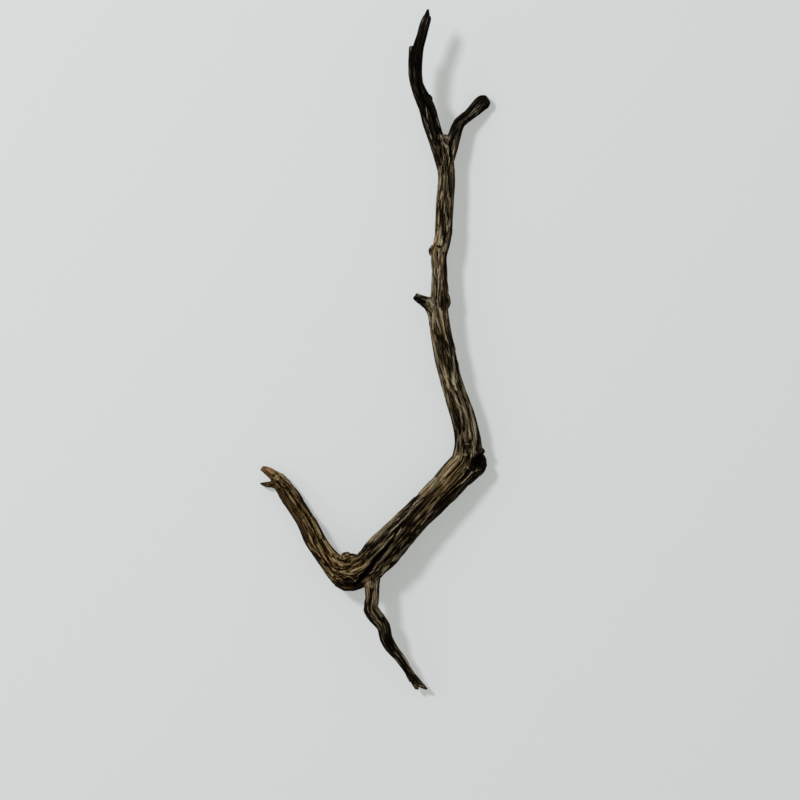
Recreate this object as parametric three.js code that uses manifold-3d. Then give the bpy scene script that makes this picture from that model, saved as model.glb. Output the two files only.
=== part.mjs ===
// A weathered driftwood branch, lying down. Millimetres, +Z up.
// The branch lies along +Y on the plane z = 0, and the origin is under the middle of its box.
// It rests on three worn flats: the knotted elbow, the club end of the short tine and the end
// of the bent arm. It grew as one piece, so it is split only where it forks.
import * as THREE from 'three';
import { mergeVertices } from 'three/addons/utils/BufferGeometryUtils.js';
import Module from 'manifold-3d';

const wasm = await Module();
wasm.setup();

// Driving dimensions.
const STEM_RADIUS = 6;         // the long stem, which is half as thick again below its elbow
const ARM_RADIUS = 6;          // the bent arm above its bend
const LEFT_TINE_RADIUS = 4.5;
const RIGHT_TINE_RADIUS = 3.8;
const SPUR_RADIUS = 4;
const SNAG_RADIUS = 3;
const FORK_GAP = 0.3;          // the space left between two limbs where they fork
const RING_STEP = 3.5;         // length of limb between two rings of corners
const STEM_SIDES = 16;
const TWIG_SIDES = 12;

// Each route is a list of [x, y, z, girth] down the heart of a limb. Girth is the radius there
// as a share of the limb's own.
const STEM_ROUTE = [
  [-6, -139, 17, 1.66],
  [8.4, -125.2, 17, 1.63],
  [22.6, -109.9, 16, 1.6],
  [37.4, -94.4, 14, 1.62],
  [50, -82, 12, 1.7],
  [58, -72, 10, 1.72],
  [60, -64, 9.6, 1.5],
  [59, -56, 10, 1.3],
  [57, -46, 11, 1.25],
  [53, -32.5, 13, 1.2],
  [48.5, -18, 14.5, 1.07],
  [44.5, -2, 15.5, 1.1],
  [41.5, 13, 16, 1.07],
  [40.3, 24, 16.3, 1.05],
  [41, 37, 16, 0.93],
  [41.3, 50, 15.6, 0.78],
  [41, 62, 15.2, 0.84],
  [42.5, 74, 14.5, 0.85],
  [44, 92, 13.5, 0.85],
  [45.2, 112, 12.5, 0.85],
  [46, 125, 12, 1.05],
];
const LEFT_TINE_ROUTE = [
  [44.5, 121, 12, 1],
  [43, 130, 13, 1.1],
  [38.5, 138.5, 15.5, 1.08],
  [35.2, 147.8, 19, 1.18],
  [33, 155.5, 21.5, 1.1],
  [29.8, 162.6, 24, 1],
  [26.6, 169.6, 26, 0.88],
  [25.3, 178.6, 27.5, 0.91],
  [25.4, 188.4, 28.5, 0.97],
  [26.3, 193, 28.9, 0.93],
  [28.4, 196.2, 29.2, 0.7],
  [29.6, 200.7, 29.5, 0.66],
  [31, 206.1, 30, 0.64],
  [32.8, 212.5, 30.3, 0.42],
  [33.4, 217.5, 30.5, 0.15],
];
const RIGHT_TINE_ROUTE = [
  [46.5, 121, 12, 1],
  [48.8, 130, 12, 1.05],
  [51, 138.5, 11.5, 1],
  [54.7, 147.2, 10, 0.92],
  [60.2, 151.4, 7.8, 0.82],
  [64, 154.9, 6, 1],
  [67.8, 158.7, 4.1, 1.08],
  [70.6, 160.8, 3.6, 1.05],
  [72.8, 162.2, 3.6, 0.8],
  [74.2, 163, 3.6, 0.35],
];
const ARM_ROUTE = [
  [2, -131, 17, 1.55],
  [-5.8, -138.9, 17, 1.65],
  [-11.8, -142, 16.5, 1.8],
  [-18, -142.8, 15.5, 1.83],
  [-23.6, -139.6, 14.5, 1.6],
  [-28.2, -134.2, 13.5, 1.33],
  [-32.8, -128.2, 12.8, 1.13],
  [-38.1, -121, 11.5, 1.04],
  [-44.2, -109.4, 9.5, 0.95],
  [-48.6, -101.8, 8, 0.93],
  [-53.8, -94.1, 6.2, 0.95],
  [-58.9, -86.4, 5.2, 0.94],
  [-63.5, -81.6, 5.2, 0.8],
];
const UPPER_PRONG_ROUTE = [
  [-59, -86, 5.2, 0.75],
  [-64, -80.6, 5.4, 0.6],
  [-68.5, -77, 5.6, 0.45],
  [-73.6, -74.6, 5.8, 0.3],
];
const LOWER_PRONG_ROUTE = [
  [-58, -88, 5, 0.75],
  [-64.5, -85.4, 4.8, 0.48],
  [-69.5, -85.5, 4.6, 0.25],
  [-74.1, -84.6, 4.4, 0.08],
];
const SPUR_ROUTE = [
  [2, -139, 17, 1.5],
  [-0.4, -145, 18.5, 1.45],
  [-2.2, -151.5, 21, 1.08],
  [-2.3, -158, 22, 1.02],
  [-2.2, -164.5, 21.5, 1.05],
  [1.3, -170.2, 20, 0.92],
  [5.1, -176.6, 18.5, 0.87],
  [7, -183.7, 17, 0.92],
  [10.2, -190.7, 15, 0.92],
  [16, -197.8, 13, 0.8],
  [21.1, -205.4, 11, 0.68],
  [26, -211.5, 9, 0.7],
];
const SPUR_PRONG_ROUTES = [
  [[24, -209, 9.6, 0.6], [26, -213.5, 8.6, 0.45], [26.8, -217.6, 8, 0.15]],
  [[24, -209, 9.6, 0.6], [28.6, -213.6, 8.2, 0.42], [33.8, -217.6, 7.4, 0.15]],
];
const SNAG_ROUTE = [
  [40, 25, 16.3, 1.7],
  [35.6, 30.2, 16.6, 1.35],
  [31, 33.2, 17, 0.95],
  [28.2, 34.4, 17.2, 0.75],
  [26, 35.4, 17.4, 0.68],
];

// Lumps of overgrown knot on the stem, each as [x, y, z, radius].
const STEM_LUMPS = [
  [64.6, -65, 9.5, 5.2],
  [64.5, -74.5, 9.3, 6.8],
  [60.8, -60.8, 13, 5.2],
  [36.8, 64.6, 15.4, 2.4],
  [45.2, 31.8, 15.6, 3.4],
];
// The knob inside the bend of the arm.
const ARM_LUMP = [-18.8, -132.8, 16.5, 3.9];
// The saddle of wood between the two tines.
const SADDLE_LUMP = [44.4, 133.4, 12.4, 4.6];

// A smooth curve through a route, with the radius of the limb read off the same way.
function heartOf(route, limbRadius) {
  const heart = route.map(([x, y, z]) => new THREE.Vector3(x, y, z));
  const curve = new THREE.CatmullRomCurve3(heart, false, 'centripetal');
  const last = route.length - 1;
  const radiusAt = (t) => {
    const i = Math.min(Math.floor(t * last), last - 1);
    const ease = THREE.MathUtils.smoothstep(t * last - i, 0, 1);
    return limbRadius * THREE.MathUtils.lerp(route[i][3], route[i + 1][3], ease);
  };
  return { curve, radiusAt };
}

// Merges a geometry's shared corners and makes it a solid that can be joined and cut.
function solid(geometry) {
  geometry.deleteAttribute('normal');
  geometry.deleteAttribute('uv');
  const merged = mergeVertices(geometry);
  const vertProperties = new Float32Array(merged.attributes.position.array);
  const triVerts = new Uint32Array(merged.index.array);
  return new wasm.Manifold(new wasm.Mesh({ numProp: 3, vertProperties, triVerts }));
}

// A limb: a cylinder bent along its route. It may be made fatter, and longer at both ends, to
// cut room for itself out of another limb.
function limb(route, limbRadius, sides, fatter = 0) {
  const { curve, radiusAt } = heartOf(route, limbRadius);
  const rings = Math.ceil(curve.getLength() / RING_STEP);
  const geometry = new THREE.CylinderGeometry(1, 1, 1, sides, rings);
  const corners = geometry.attributes.position;
  const up = new THREE.Vector3(0, 0, 1);
  for (let i = 0; i < corners.count; i += 1) {
    const t = THREE.MathUtils.clamp(corners.getY(i) + 0.5, 0, 1);
    const along = curve.getTangent(t);
    const side = new THREE.Vector3().crossVectors(along, up).normalize();
    const top = new THREE.Vector3().crossVectors(side, along);
    const radius = radiusAt(t) + fatter;
    const corner = curve.getPoint(t);
    corner.addScaledVector(side, corners.getX(i) * radius);
    corner.addScaledVector(top, corners.getZ(i) * radius);
    if (t === 0) corner.addScaledVector(along, -fatter);
    if (t === 1) corner.addScaledVector(along, fatter);
    corners.setXYZ(i, corner.x, corner.y, corner.z);
  }
  return solid(geometry);
}

// A rounded lump of knot wood.
function lump([x, y, z, radius], fatter = 0) {
  const ball = new THREE.IcosahedronGeometry(radius + fatter, 2);
  ball.translate(x, y, z);
  return solid(ball);
}

// Everything below the surface that the branch rests on.
function ground() {
  const slab = new THREE.BoxGeometry(400, 600, 40);
  slab.translate(0, 0, -20);
  return solid(slab);
}

// The largest single body of a cut solid, without the crumbs beside it.
function largestBody(cut) {
  const bodies = cut.decompose();
  return bodies.reduce((best, body) => (body.volume() > best.volume() ? body : best));
}

function meshOf(name, body, colour, roughness) {
  const { vertProperties, triVerts } = body.getMesh();
  const geometry = new THREE.BufferGeometry();
  geometry.setAttribute('position', new THREE.BufferAttribute(vertProperties, 3));
  geometry.setIndex(new THREE.BufferAttribute(triVerts, 1));
  const material = new THREE.MeshStandardMaterial({ color: colour, roughness, metalness: 0 });
  const mesh = new THREE.Mesh(geometry, material);
  mesh.name = name;
  return mesh;
}

function stemSolid(fatter = 0) {
  const grown = limb(STEM_ROUTE, STEM_RADIUS, STEM_SIDES, fatter);
  const lumps = STEM_LUMPS.map((knot) => lump(knot, fatter));
  return lumps.reduce((joined, knot) => joined.add(knot), grown);
}

function armSolid(fatter = 0) {
  return limb(ARM_ROUTE, ARM_RADIUS, STEM_SIDES, fatter)
    .add(limb(UPPER_PRONG_ROUTE, ARM_RADIUS, TWIG_SIDES, fatter))
    .add(limb(LOWER_PRONG_ROUTE, ARM_RADIUS, TWIG_SIDES, fatter))
    .add(lump(ARM_LUMP, fatter));
}

function spurSolid() {
  const twig = limb(SPUR_ROUTE, SPUR_RADIUS, TWIG_SIDES);
  const prongs = SPUR_PRONG_ROUTES.map((route) => limb(route, SPUR_RADIUS, TWIG_SIDES));
  return prongs.reduce((joined, prong) => joined.add(prong), twig);
}

const leftTineSolid = (fatter = 0) => (
  limb(LEFT_TINE_ROUTE, LEFT_TINE_RADIUS, TWIG_SIDES, fatter).add(lump(SADDLE_LUMP, fatter))
);
const rightTineSolid = () => limb(RIGHT_TINE_ROUTE, RIGHT_TINE_RADIUS, TWIG_SIDES);
const snagSolid = () => limb(SNAG_ROUTE, SNAG_RADIUS, TWIG_SIDES);

// Each limb makes room for the limb that it grows from, and rests on its worn flat.
const under = ground();
const stemRoom = stemSolid(FORK_GAP);
const bodies = {
  stem: stemSolid().subtract(under),
  left_tine: leftTineSolid().subtract(stemRoom),
  right_tine: rightTineSolid().subtract(stemRoom).subtract(leftTineSolid(FORK_GAP))
    .subtract(under),
  bent_arm: armSolid().subtract(stemRoom).subtract(under),
  spur: spurSolid().subtract(stemRoom).subtract(armSolid(FORK_GAP)),
  side_snag: snagSolid().subtract(stemRoom),
};

const finishes = {
  stem: [0x6e5c42, 0.85],
  left_tine: [0x3a2c20, 0.8],
  right_tine: [0x44362a, 0.8],
  bent_arm: [0x7a5c38, 0.85],
  spur: [0x54483a, 0.85],
  side_snag: [0x4a382c, 0.85],
};

const branch = new THREE.Group();
branch.name = 'driftwood_branch';
for (const [name, body] of Object.entries(bodies)) {
  branch.add(meshOf(name, largestBody(body), ...finishes[name]));
}

export default branch;
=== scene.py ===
# %% [markdown]
# # A weathered driftwood branch
# This lesson finishes a branch whose size, balance and forks were settled in CAD. The real one is
# a single piece of hard root wood: soft wood has rotted out between the grain, so sinewy ribs
# stand proud of dark furrows all the way round. We grow plain limbs along the same routes as the
# CAD solids, fuse them into one skin, carve the grain into that skin, colour it, and cut it
# again at the forks, so that each CAD node gets its own finished piece.

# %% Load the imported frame
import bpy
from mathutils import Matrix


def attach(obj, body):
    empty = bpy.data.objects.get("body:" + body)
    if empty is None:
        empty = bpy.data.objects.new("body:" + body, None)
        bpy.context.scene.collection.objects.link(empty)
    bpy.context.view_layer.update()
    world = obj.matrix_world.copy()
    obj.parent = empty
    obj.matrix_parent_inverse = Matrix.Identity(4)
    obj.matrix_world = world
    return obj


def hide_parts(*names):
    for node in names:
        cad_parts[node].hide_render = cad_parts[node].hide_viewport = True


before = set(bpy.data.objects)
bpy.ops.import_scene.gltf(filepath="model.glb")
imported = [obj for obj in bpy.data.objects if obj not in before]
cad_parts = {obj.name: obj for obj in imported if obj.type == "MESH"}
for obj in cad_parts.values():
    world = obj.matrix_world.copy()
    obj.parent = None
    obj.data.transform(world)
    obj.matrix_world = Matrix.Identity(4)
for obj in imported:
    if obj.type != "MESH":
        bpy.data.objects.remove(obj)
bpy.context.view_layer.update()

# %% [markdown]
# ## Tools and units
# Blender works in metres, but a wood carver thinks in millimetres. All the routes and cuts below
# are written in millimetres and multiplied by MM where they meet Blender.

# %% Tools and units
import math

import bpy
import numpy as np
from mathutils import Vector

MM = 0.001
scene = bpy.context.scene
print("Blender", bpy.app.version_string, "works in metres, so one millimetre is", MM)

# %% [markdown]
# ## The camera
# The branch lies on the floor, so the camera hangs straight above it and looks down, with the
# branch's long axis upright in the picture. It could stand close with a short lens, but a long
# lens from far off keeps the high limbs from swelling beside the low ones.

# %% The camera
VIEW_CENTRE = (16 * MM, -31.4 * MM)
CAMERA_HEIGHT = 2860 * MM
LENS = 200                      # in millimetres, as lenses are named
FILM_WIDTH = 36

camera_data = bpy.data.cameras.new("camera")
camera_data.lens = LENS
camera_data.sensor_width = FILM_WIDTH
camera_data.clip_start = 0.01
camera = bpy.data.objects.new("camera", camera_data)
camera.location = (*VIEW_CENTRE, CAMERA_HEIGHT)
scene.collection.objects.link(camera)
scene.camera = camera
print("the camera sees", round(FILM_WIDTH / LENS * CAMERA_HEIGHT / MM), "mm across")

# %% [markdown]
# ## Light and floor
# Wood this rough shows its relief only in light that comes from one side. A broad soft lamp
# stands beyond the upper left corner, a weaker and lower one on the same side reaches under the
# ribs, and a pale sky fills the rest. The floor is one plain pale sheet, just under the branch.
# One lamp over a plain sheet throws a heavy shadow, so the sheet also glows a little, as a
# light table does, and the shadow stays faint.

# %% Light and floor
KEY_POWER = 92
FILL_POWER = 9
SKY = (1, 0.995, 0.88, 1)
SKY_STRENGTH = 0.33
FLOOR_COLOUR = (0.29, 0.296, 0.294, 1)
FLOOR_GLOW = (0.36, 0.369, 0.366, 1)
FLOOR_DROP = 0.05 * MM          # keeps the floor's face clear of the worn flats


def soft_lamp(name, place, power, size, colour):
    """A square area lamp that faces the middle of the branch."""
    lamp = bpy.data.lights.new(name, "AREA")
    lamp.energy = power
    lamp.size = size
    lamp.color = colour
    stand = bpy.data.objects.new(name, lamp)
    stand.location = place
    aim = Vector((*VIEW_CENTRE, 0)) - Vector(place)
    stand.rotation_euler = aim.to_track_quat("-Z", "Y").to_euler()
    scene.collection.objects.link(stand)


soft_lamp("key lamp", (-1.6, 1.3, 2.6), KEY_POWER, 0.5, (0.93, 0.95, 1))
soft_lamp("fill lamp", (-2.7, 0.6, 1.7), FILL_POWER, 0.9, (0.95, 0.96, 1))

world = bpy.data.worlds.new("pale room")
world.use_nodes = True
world.node_tree.nodes["Background"].inputs["Color"].default_value = SKY
world.node_tree.nodes["Background"].inputs["Strength"].default_value = SKY_STRENGTH
scene.world = world
scene.view_settings.view_transform = "Standard"

bpy.ops.object.select_all(action="DESELECT")
bpy.ops.mesh.primitive_plane_add(size=6, location=(0, 0, -FLOOR_DROP))
floor = bpy.context.object
floor.name = "floor"
floor_finish = bpy.data.materials.new("pale floor")
floor_finish.use_nodes = True
floor_shader = floor_finish.node_tree.nodes["Principled BSDF"]
floor_shader.inputs["Base Color"].default_value = FLOOR_COLOUR
floor_shader.inputs["Emission Color"].default_value = FLOOR_GLOW
floor_shader.inputs["Emission Strength"].default_value = 1
floor_shader.inputs["Roughness"].default_value = 0.9
floor.data.materials.append(floor_finish)

# %% [markdown]
# ## The routes of the limbs
# Each limb is a list of rings down its heart, as x, y, height and radius in millimetres. Curves
# dragged by eye would do as well, but a list can be read, checked and put right ring by ring.
# The first is the whole backbone: down the bent arm, round the bend, along the thick limb, round
# the elbow, and up the stem into the left tine. The wood's fibres run along that backbone without
# a break, so the furrows will too. The other limbs grow out of it.

# %% The routes of the limbs
BACKBONE = [
    (-63.5, -81.6, 5.2, 4.6), (-59.1, -86.6, 5.7, 5.6), (-53.8, -94.1, 6.5, 6.4),
    (-48.9, -101.8, 8, 6), (-44.2, -109.3, 9.5, 6.1), (-38.7, -120.6, 11.5, 6.6),
    (-33.6, -128.5, 12.8, 6.5), (-28.8, -134.6, 13.5, 7.2), (-23.5, -139.8, 14.5, 8.8),
    (-18, -142.7, 15.5, 11.2), (-11.8, -141.8, 16.5, 10.4), (-6, -138.6, 17, 10.3),
    (1, -132.3, 17, 11.2), (8.2, -125, 17, 11), (22.6, -109.8, 16, 9.4), (37.8, -94.7, 14, 9.5),
    (49.7, -81.8, 12, 10.1), (58, -72, 10.2, 10), (59.7, -64, 9.9, 9.2), (59.3, -56, 10, 8.3),
    (57.3, -46, 11, 8), (53, -32.5, 13, 7.4), (48.5, -18, 14.5, 6.7), (44.9, -2, 15.5, 7),
    (42, 13, 16, 6.6), (40.7, 24, 16.3, 6.4), (41.5, 37, 16, 5.7), (41.5, 50, 15.6, 5.1),
    (41.2, 62, 15.2, 5.2), (43.7, 74.6, 14.5, 5.4), (44.4, 92, 13.5, 5.6), (45.8, 112, 12.5, 5.5),
    (43.2, 127.6, 13, 6.4), (38.4, 138.5, 15.5, 5.3), (35.2, 147.8, 19, 5.3),
    (33, 155.5, 21.5, 5.1), (29.6, 162.6, 24, 4.5), (26.7, 169.6, 26, 4),
    (25.6, 178.6, 27.5, 4.3), (26.3, 186.4, 28.3, 4), (27.6, 193, 28.9, 3.5),
    (28.7, 196.8, 29.2, 3.3), (29.9, 200.7, 29.5, 3.1), (31.3, 206.1, 30, 3.1),
    (32.9, 211, 30.2, 2.8), (33.6, 213.2, 30.3, 2.1),
]
RIGHT_TINE = [
    (46.5, 121, 12, 4), (48.8, 130, 12, 4.2), (51, 138.5, 11.5, 4), (54.2, 146.4, 10.1, 3.7),
    (60.2, 151.4, 7.8, 3.6), (64, 154.9, 6, 4.2), (67.8, 158.7, 4.3, 4.7),
    (70.4, 160.4, 4, 4.6), (72.7, 161.8, 3.9, 2.7),
]
SPUR = [
    (2.6, -137, 17.5, 6), (-1.2, -143.6, 18.7, 5.3), (-2, -150.5, 20.6, 4.8),
    (-1.9, -158, 22, 4.3), (-2.6, -165, 21.5, 4.7), (1.1, -170.5, 20, 4.6), (5.5, -176.4, 18.5, 4.1),
    (7, -183.7, 17, 4), (10.6, -190.5, 15, 3.8), (16.4, -197.5, 13, 3.1),
    (21.1, -205, 11, 2.7), (24.6, -211, 9, 3),
]
SPUR_PRONGS = [
    [(23.4, -208.6, 9.6, 2.4), (25.8, -213.4, 8.6, 2), (27, -217.2, 8, 0.9)],
    [(24.2, -209, 9.6, 2.6), (28.4, -213.4, 8.2, 2.1), (33.4, -217.2, 7.4, 0.6)],
]
SNAG = [
    (40, 22.4, 16.3, 5.2), (35.8, 29, 16.6, 4.7), (31.4, 31.7, 17, 3.4), (28.1, 33.4, 17.2, 2.6),
    (25.4, 35.2, 17.4, 2.1),
]
ARM_PRONGS = [
    [(-58, -87, 5.2, 4.6), (-64, -80.8, 5.4, 3.6), (-68.5, -77.4, 5.6, 2.8),
     (-73, -75.2, 5.8, 1.4)],
    [(-58, -88, 5, 4.4), (-64.5, -85.6, 4.8, 2.7), (-69.5, -85.8, 4.6, 1.7),
     (-73.8, -84.7, 4.4, 0.5)],
]
TINE_FLAKE = [(25, 176, 27.5, 3.6), (24.5, 185, 28.3, 3.2), (24.3, 193.8, 28.9, 2.5)]
TINE_TIP = [(32.3, 208, 30, 2.6), (33, 212.6, 30.3, 1.9), (33.9, 217.3, 30.5, 0.6)]
HEEL = [
    (37, -93.6, 13, 4.4), (46, -89.2, 11.8, 4.6), (54.4, -83.9, 10.8, 4.8), (61.2, -78.6, 10.6, 5.1),
    (65.6, -73.8, 10.4, 5.7), (67, -70, 10, 5), (65, -66.6, 9.8, 3.6),
]
WORN_TO = 0                     # the height of the surface that the branch has worn flat on
RING_STEP = 3.5


def along(route, step=RING_STEP):
    """A smooth run of rings about a step apart through a route, each as x, y, height, radius."""
    points = np.array(route, float)
    runs = [points[:1]]
    padded = np.vstack([2 * points[0] - points[1], points, 2 * points[-1] - points[-2]])
    for i in range(len(points) - 1):
        before, start, end, after = padded[i:i + 4]
        count = max(2, round(np.linalg.norm((end - start)[:3]) / step))
        t = np.linspace(0, 1, count + 1)[1:, None]
        bend = 2 * before - 5 * start + 4 * end - after
        twist = 3 * start - before - 3 * end + after
        runs.append(start + 0.5 * (t * (end - before) + t ** 2 * bend + t ** 3 * twist))
    return np.vstack(runs)


print("the backbone is", len(along(BACKBONE)), "rings long")

# %% [markdown]
# ## Growing a limb
# A limb could be a curve with a thickness, but extruding one circle is the plainest way and
# leaves every ring under control. The circle stands upright across the limb. Each step extrudes
# its edge to the next place on the route, turns it about the vertical until it faces along the
# limb again, and scales it to the next radius. Both ends are then filled.

# %% Growing a limb
LIMB_SIDES = 24


def deselect_all():
    """Operators act on everything selected, so each model starts from nothing selected."""
    bpy.ops.object.select_all(action="DESELECT")


def heading(ahead):
    """The turn about the vertical from +Y to a direction, clockwise seen from above."""
    return math.atan2(ahead[0], ahead[1])


def grow_limb(name, route):
    """Extrudes a circle ring by ring along a route and closes both ends."""
    rings = along(route)
    ways = np.gradient(rings[:, :3], axis=0)
    deselect_all()
    first = Vector(rings[0, :3]) * MM
    bpy.ops.mesh.primitive_circle_add(
        vertices=LIMB_SIDES, radius=rings[0, 3] * MM, fill_type="NOTHING",
        location=first, rotation=(math.pi / 2, 0, 0))
    limb = bpy.context.object
    limb.name = name
    bpy.ops.object.transform_apply()
    bpy.ops.object.mode_set(mode="EDIT")
    bpy.ops.mesh.select_all(action="SELECT")
    faced = heading(ways[0])
    bpy.ops.transform.rotate(value=faced, orient_axis="Z", center_override=first)
    for before, ring, way in zip(rings[:-1], rings[1:], ways[1:]):
        step = (ring - before)[:3] * MM
        middle = ring[:3] * MM
        bpy.ops.mesh.extrude_region_move(TRANSFORM_OT_translate={"value": step})
        turn = math.remainder(heading(way) - faced, math.tau)
        bpy.ops.transform.rotate(value=turn, orient_axis="Z", center_override=middle)
        bpy.ops.transform.resize(value=(ring[3] / before[3],) * 3, center_override=middle)
        faced += turn
    bpy.ops.mesh.select_all(action="SELECT")
    bpy.ops.mesh.fill_holes(sides=0)
    bpy.ops.mesh.normals_make_consistent(inside=False)
    bpy.ops.object.mode_set(mode="OBJECT")
    return limb


limbs = [
    grow_limb("backbone", BACKBONE),
    grow_limb("short tine", RIGHT_TINE),
    grow_limb("spur", SPUR),
    grow_limb("snag", SNAG),
    grow_limb("flake on the tine", TINE_FLAKE),
    grow_limb("tip of the tine", TINE_TIP),
    grow_limb("heel of the elbow", HEEL),
]
for route in SPUR_PRONGS + ARM_PRONGS:
    limbs.append(grow_limb("prong", route))
print("grew", len(limbs), "limbs,", sum(len(limb.data.vertices) for limb in limbs), "corners")

# %% [markdown]
# ## Knots and burls
# Where a twig once grew, the wood has closed over its stump in a rounded lump. Sculpting would
# give such lumps too, but a ball can be placed exactly. Each knot is an icosphere, as x, y,
# height, radius and squash, set partly into its limb, and the fusing below rounds it in.

# %% Knots and burls
KNOT_FINENESS = 4
KNOTS = {
    "burl on the elbow": (66.4, -64.4, 12, 4.4, (0.95, 0.8, 1)),
    "eye of the elbow": (60.6, -60.6, 13, 5.0, (1, 1, 1)),
    "old bud on the stem": (37.4, 64, 15.4, 2.9, (1.15, 1.3, 1)),
    "swelling behind the snag": (44.8, 32, 15.6, 3.6, (1, 1.7, 1)),
    "bud behind the snag": (47.2, 30.6, 15.6, 1.4, (1, 0.8, 1)),
    "knob inside the bend": (-18, -132.4, 17.2, 4.3, (1.1, 0.95, 0.85)),
    "nub beside the knob": (-14.4, -131.4, 17.6, 2.4, (1.4, 0.9, 1)),
    "saddle between the tines": (44.5, 133.2, 12.8, 4.9, (0.9, 1.2, 1.05)),
    "knuckle of the long tine": (34.2, 160.6, 23.2, 2.4, (1, 1.2, 1)),
    "swelling of the stem": (46.2, 76.2, 14.4, 3.2, (1, 1.6, 1)),
    "knot below the stem's middle": (50.4, -19.4, 14.2, 6.4, (0.75, 1.4, 1)),
}
for name, (x, y, z, radius, squash) in KNOTS.items():
    deselect_all()
    bpy.ops.mesh.primitive_ico_sphere_add(
        subdivisions=KNOT_FINENESS, radius=radius * MM, location=(x * MM, y * MM, z * MM), scale=squash)
    knot = bpy.context.object
    knot.name = name
    bpy.ops.object.transform_apply()
    limbs.append(knot)
print("added", len(KNOTS), "knots")

# %% [markdown]
# ## Fusing the limbs into one skin
# Booleans would leave a hard line at every fork. Instead all the parts are joined into one
# object, and a voxel Remesh makes a single skin round them, fine enough to hold the grain. A
# Smooth modifier then melts the forks and knots together, as growth rings do.

# %% Fusing the limbs into one skin
SKIN_VOXEL = 0.3 * MM
MELT_PASSES = 18

deselect_all()
for limb in limbs:
    limb.select_set(True)
bpy.context.view_layer.objects.active = limbs[0]
bpy.ops.object.join()
branch = bpy.context.object
branch.name = "whole branch"
bpy.ops.object.modifier_add(type="REMESH")
branch.modifiers[-1].mode = "VOXEL"
branch.modifiers[-1].voxel_size = SKIN_VOXEL
bpy.ops.object.modifier_apply(modifier=branch.modifiers[-1].name)
bpy.ops.object.modifier_add(type="SMOOTH")
branch.modifiers[-1].factor = 0.5
branch.modifiers[-1].iterations = MELT_PASSES
bpy.ops.object.modifier_apply(modifier=branch.modifiers[-1].name)
print("the skin has", len(branch.data.vertices), "corners")

# %% [markdown]
# ## Reading the grain
# To carve along the grain we need to know, for each corner of the skin, which limb it belongs
# to and where it lies on it: across, up, and along in millimetres. Near a fork a corner belongs
# partly to both limbs, so the furrows of one fade into those of the other. Painting such a map
# by hand would take days, and the routes already hold it: each corner is measured from the
# nearest ring of each limb.

# %% Reading the grain
GRAIN_LIMBS = [BACKBONE, RIGHT_TINE, SPUR, SNAG, *SPUR_PRONGS, *ARM_PRONGS]
FINE_STEP = 0.8                 # how far apart, in millimetres, the rings for measuring are
BATCH = 20000                   # how many corners are measured at once, to spare the memory
FORK_BLEND = 1.8                # how far, in millimetres, one limb's grain fades into another's


def corners_of(mesh):
    """The corners of a mesh in millimetres."""
    places = np.empty(len(mesh.vertices) * 3, np.float32)
    mesh.vertices.foreach_get("co", places)
    return places.reshape(-1, 3).astype(float) / MM


def normals_of(mesh):
    """The direction that each corner of a mesh faces."""
    ways = np.empty(len(mesh.vertices) * 3, np.float32)
    mesh.vertex_normals.foreach_get("vector", ways)
    return ways.reshape(-1, 3).astype(float)


def place_on(route, points):
    """Where points lie on a limb: across, up and along it, and how far above its bark."""
    rings = along(route, step=FINE_STEP)
    hearts = rings[:, :3]
    ways = np.gradient(hearts, axis=0)
    ways /= np.linalg.norm(ways, axis=1)[:, None]
    sides = np.cross(ways, (0, 0, 1))
    sides /= np.linalg.norm(sides, axis=1)[:, None]
    tops = np.cross(sides, ways)
    lengths = np.linalg.norm(np.diff(hearts, axis=0), axis=1)
    travelled = np.concatenate([[0], np.cumsum(lengths)])
    nearest = np.empty(len(points), int)
    for start in range(0, len(points), BATCH):
        some = points[start:start + BATCH]
        gaps = (hearts ** 2).sum(1) - 2 * some @ hearts.T
        nearest[start:start + BATCH] = gaps.argmin(1)
    offset = points - hearts[nearest]
    ahead = (offset * ways[nearest]).sum(1)
    across = (offset * sides[nearest]).sum(1)
    up = (offset * tops[nearest]).sum(1)
    above = np.linalg.norm(offset, axis=1) - rings[nearest, 3]
    return np.stack([across, up, travelled[nearest] + ahead], axis=1), above, rings[nearest, 3]


skin = corners_of(branch.data)
facing = normals_of(branch.data)
places = [place_on(route, skin) for route in GRAIN_LIMBS]
closeness = np.stack([np.exp(-np.clip(above, -4, 12) / FORK_BLEND) for _, above, _ in places])
share = closeness / closeness.sum(0)
print("share of the skin on each limb:", share.mean(1).round(3))

# %% [markdown]
# ## Noise that follows the grain
# Wood is never regular, so every furrow starts from noise. Blender's own noise works on one point
# at a time, so this is plain gradient noise written out to run on all the corners at once. Its
# space is stretched along the limb, which draws each blob out into a fibre.

# %% Noise that follows the grain
SEED = 561
dice = np.random.default_rng(SEED)
SHUFFLE = dice.permutation(256)
SLOPES = dice.normal(size=(256, 3))
SLOPES /= np.linalg.norm(SLOPES, axis=1)[:, None]
NOISE_GAIN = 1.7                # brings plain gradient noise up to about -1 to 1
LEAST_SHARE = 0.004             # a limb with less of a corner than this has no say in it


def noise(points, seed=0):
    """Gradient noise between about -1 and 1 at an array of points."""
    cell = np.floor(points).astype(int)
    local = points - cell
    ease = local * local * local * (local * (local * 6 - 15) + 10)
    total = np.zeros(len(points))
    for corner in np.ndindex(2, 2, 2):
        x, y, z = (cell + corner).T
        key = SHUFFLE[(SHUFFLE[(SHUFFLE[(x + seed) & 255] + y) & 255] + z) & 255]
        slope = ((local - corner) * SLOPES[key]).sum(1)
        weight = np.where(corner, ease, 1 - ease).prod(1)
        total += weight * slope
    return total * NOISE_GAIN


def grain_noise(place, width, stretch, seed):
    """Noise in blobs of a width across the grain, drawn out along it by a stretch."""
    return noise(place / (width, width, width * stretch), seed)


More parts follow.
